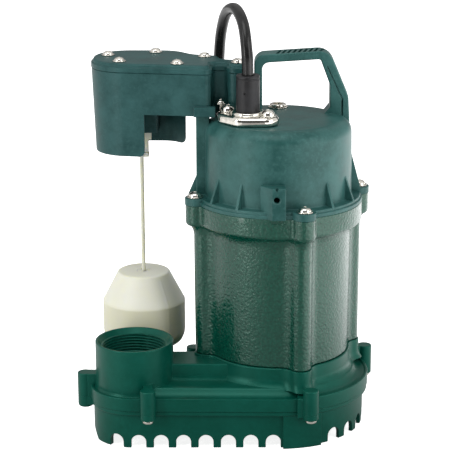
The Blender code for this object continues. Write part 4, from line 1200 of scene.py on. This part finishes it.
def build_float():
    low, top = span("float", "z")
    radius = (span("float", "x")[1] - span("float", "x")[0]) / 2
    shoulder, top_r, bore = low + FLOAT_SHOULDER, 19.2, 1.9
    profile = [(bore, low), (radius - 6.5, low)]
    profile += arc(radius - 6.5, low + 5, 5, -80, -25, 7)
    profile += [(radius - 0.5, low + 6.4), (radius, low + 10), (radius, shoulder - 1.4)]
    profile += [(radius - 0.1, shoulder - 0.6), (radius - 0.6, shoulder + 0.2)]
    profile += [(top_r + 0.9, top - 1.4), (top_r + 0.2, top - 0.5), (top_r - 0.9, top)]
    profile += [(5.2, top), (4.6, top - 0.5), (bore, top - 0.5)]

    def mould_line(angle, r, z):
        """A fine raised line up two sides, where the mould closes."""
        off = min(abs((math.degrees(angle) - side + 180) % 360 - 180) for side in (130, 310))
        return r + (0.25 * max(0, 1 - off / 2) if r > 15 else 0)

    piece("float", lathe(profile, ROD_AT, 240, mould_line))
    low, top = span("float_rod", "z")
    bar = [(0, low), (2.5, low), (2.8, low + 0.3), (2.8, low + 1.4), (2.6, low + 1.6), (1.5, low + 1.6)]
    bar += [(1.5, top - 1.4), (2, top - 1.4), (2, top - 0.3), (1.7, top), (0, top)]
    piece("float_rod", lathe(bar, ROD_AT, 32))
    low, top = span("float_stop", "z")
    stop = [(1.8, low), (4.6, low), (5, low + 0.4), (5, top - 0.4), (4.6, top), (1.8, top)]
    piece("float_stop", lathe(stop, ROD_AT, MEDIUM))
    x, y = ROD_AT
    low, top = span("rod_carrier", "z")
    base = plate(rectangle((x - 3.2, -95.8), (y - 2.6, y + 2.6), 1), low, 198.3, 0.4, 0.4, steps=5)
    arm = box((-99.2, -96.2), (y - 1.6, y + 1.6), (low + 1, 210))
    blade = soft_box((-99.3, -94), (y - 1.7, y + 1.7), (208, 240), 0.4)
    tip = soft_box((-98.6, -96.4), (y - 1.5, y + 1.5), (239, top), 0.4)
    bore = rod(1.8, ROD_AT, 190, 202, 32)
    piece("rod_carrier", base, (ADD, [arm, blade, tip]), (CUT, [bore]))


# Pieces that keep their CAD shape, and the set.


def finish_kept_nodes():
    """Every CAD node still shown gets its own procedural material."""
    replaced = {node for obj in bpy.data.objects for node in obj.get("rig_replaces", [])}
    for node, obj in frame["nodes"].items():
        if node not in replaced:
            dress(obj, node)


# Metres: half the floor's width, and how far it lies below the foot.
FLOOR_REACH = 6
FLOOR_DROP = 0.0002


def studio_floor():
    """White paper to the camera. Reflections see grey paper with a bright card at either side."""
    mesh = bpy.data.meshes.new("floor")
    bm = bmesh.new()
    level = cad_box[0].z - FLOOR_DROP
    edges = (-FLOOR_REACH, FLOOR_REACH)
    bm.faces.new([bm.verts.new((x, y, level)) for x, y in rectangle(edges, edges)])
    bm.to_mesh(mesh)
    bm.free()
    s = Shader("floor_paper")
    seen = s.camera_ray()
    x = s.add("ShaderNodeSeparateXYZ", {0: s.place}).outputs[0]
    across = s.math("SUBTRACT", x, MOTOR_AT.x * MM)
    right = s.remap(across, 0.06, 0.34, 0, 1.9)
    left = s.remap(across, -0.08, -0.35, 0.15, 0.9)
    cards = s.math("MULTIPLY", s.math("ADD", right, left), s.math("SUBTRACT", 1, seen))
    s.set(Base_Color=s.mix(seen, (0.30, 0.30, 0.30), (0.90, 0.90, 0.90)), Roughness=0.9)
    s.set(Emission_Color=(1, 1, 1))
    s.set(Emission_Strength=s.math("ADD", cards, s.math("MULTIPLY", seen, 0.85)))
    s.set(Specular_IOR_Level=0)
    mesh.materials.append(s.mat)
    add_object("floor", mesh)


def softbox(name, place, target, size, power):
    light = bpy.data.lights.new(name, "AREA")
    light.shape = "RECTANGLE"
    light.size, light.size_y = size
    light.energy = power
    obj = add_object(name, light)
    obj.location = place
    obj.rotation_euler = (target - place).to_track_quat("-Z", "Y").to_euler()


def studio_world():
    """White to the camera. Surfaces see bright sides, a bright top, a dim back and no front."""
    world = bpy.data.worlds.new("studio")
    bpy.context.scene.world = world
    s = Nodes(world)
    looking = s.add("ShaderNodeTexCoord").outputs["Generated"]
    x, y, z = s.add("ShaderNodeSeparateXYZ", {0: looking}).outputs
    sides = s.remap(s.math("ABSOLUTE", x), 0.55, 0.95, 0.04, 0.95)
    above = s.remap(z, 0.35, 0.85, 0, 0.85)
    behind = s.remap(y, 0.3, 0.9, 0, 0.3)
    glow = s.math("ADD", s.math("ADD", sides, above), behind)
    background = s.tree.nodes["Background"].inputs
    s.put(background["Color"], (1, 1, 1))
    s.put(background["Strength"], s.math("MAXIMUM", glow, s.camera_ray()))


# Name, place in metres from the motor axis, size in metres, and watts.
SOFTBOXES = (
    ("top_softbox", (-0.2, -0.7, 1.5), (0.9, 0.9), 7),
    ("left_softbox", (-1.3, -0.9, 0.8), (0.5, 1.2), 5.2),
    ("strip_light", (-0.46, -0.39, 0.2), (0.08, 0.4), 0.55),
    ("right_softbox", (1.2, -0.9, 0.6), (0.9, 1.3), 9.5),
)
LIT_POINT = (-0.03, 0, 0.15)


def studio_lights():
    axis = MOTOR_AT * MM
    for name, place, size, power in SOFTBOXES:
        softbox(name, axis + Vector(place), axis + Vector(LIT_POINT), size, power)


# The solved viewpoint: pixels of the photo, metres from the foot of the motor axis, and degrees.
PHOTO_PIXELS = 450
FOCAL_PIXELS = 1761
SHIFT_PIXELS = 26
CAMERA_FROM_AXIS = (-0.01985, -1.25112, 0.49989)
CAMERA_PITCH = 15.63


def add_camera():
    """A long lens at the reference viewpoint: in front, looking a little down."""
    camera = bpy.data.cameras.new("camera")
    camera.sensor_width = 36
    camera.lens = camera.sensor_width * FOCAL_PIXELS / PHOTO_PIXELS
    camera.shift_x = -SHIFT_PIXELS / PHOTO_PIXELS
    camera.clip_start = 0.01
    obj = add_object("camera", camera)
    obj.location = MOTOR_AT * MM + Vector(CAMERA_FROM_AXIS)
    obj.rotation_euler = (math.radians(90 - CAMERA_PITCH), 0, 0)
    bpy.context.scene.camera = obj


def main():
    make_materials()
    build_base()
    build_volute()
    build_housing()
    build_cap()
    build_cap_fittings()
    build_clamp()
    build_cord()
    build_plug()
    build_case()
    build_cover()
    build_float()
    finish_kept_nodes()
    studio_floor()
    studio_world()
    studio_lights()
    add_camera()
    bpy.context.scene.view_settings.view_transform = "Standard"


main()
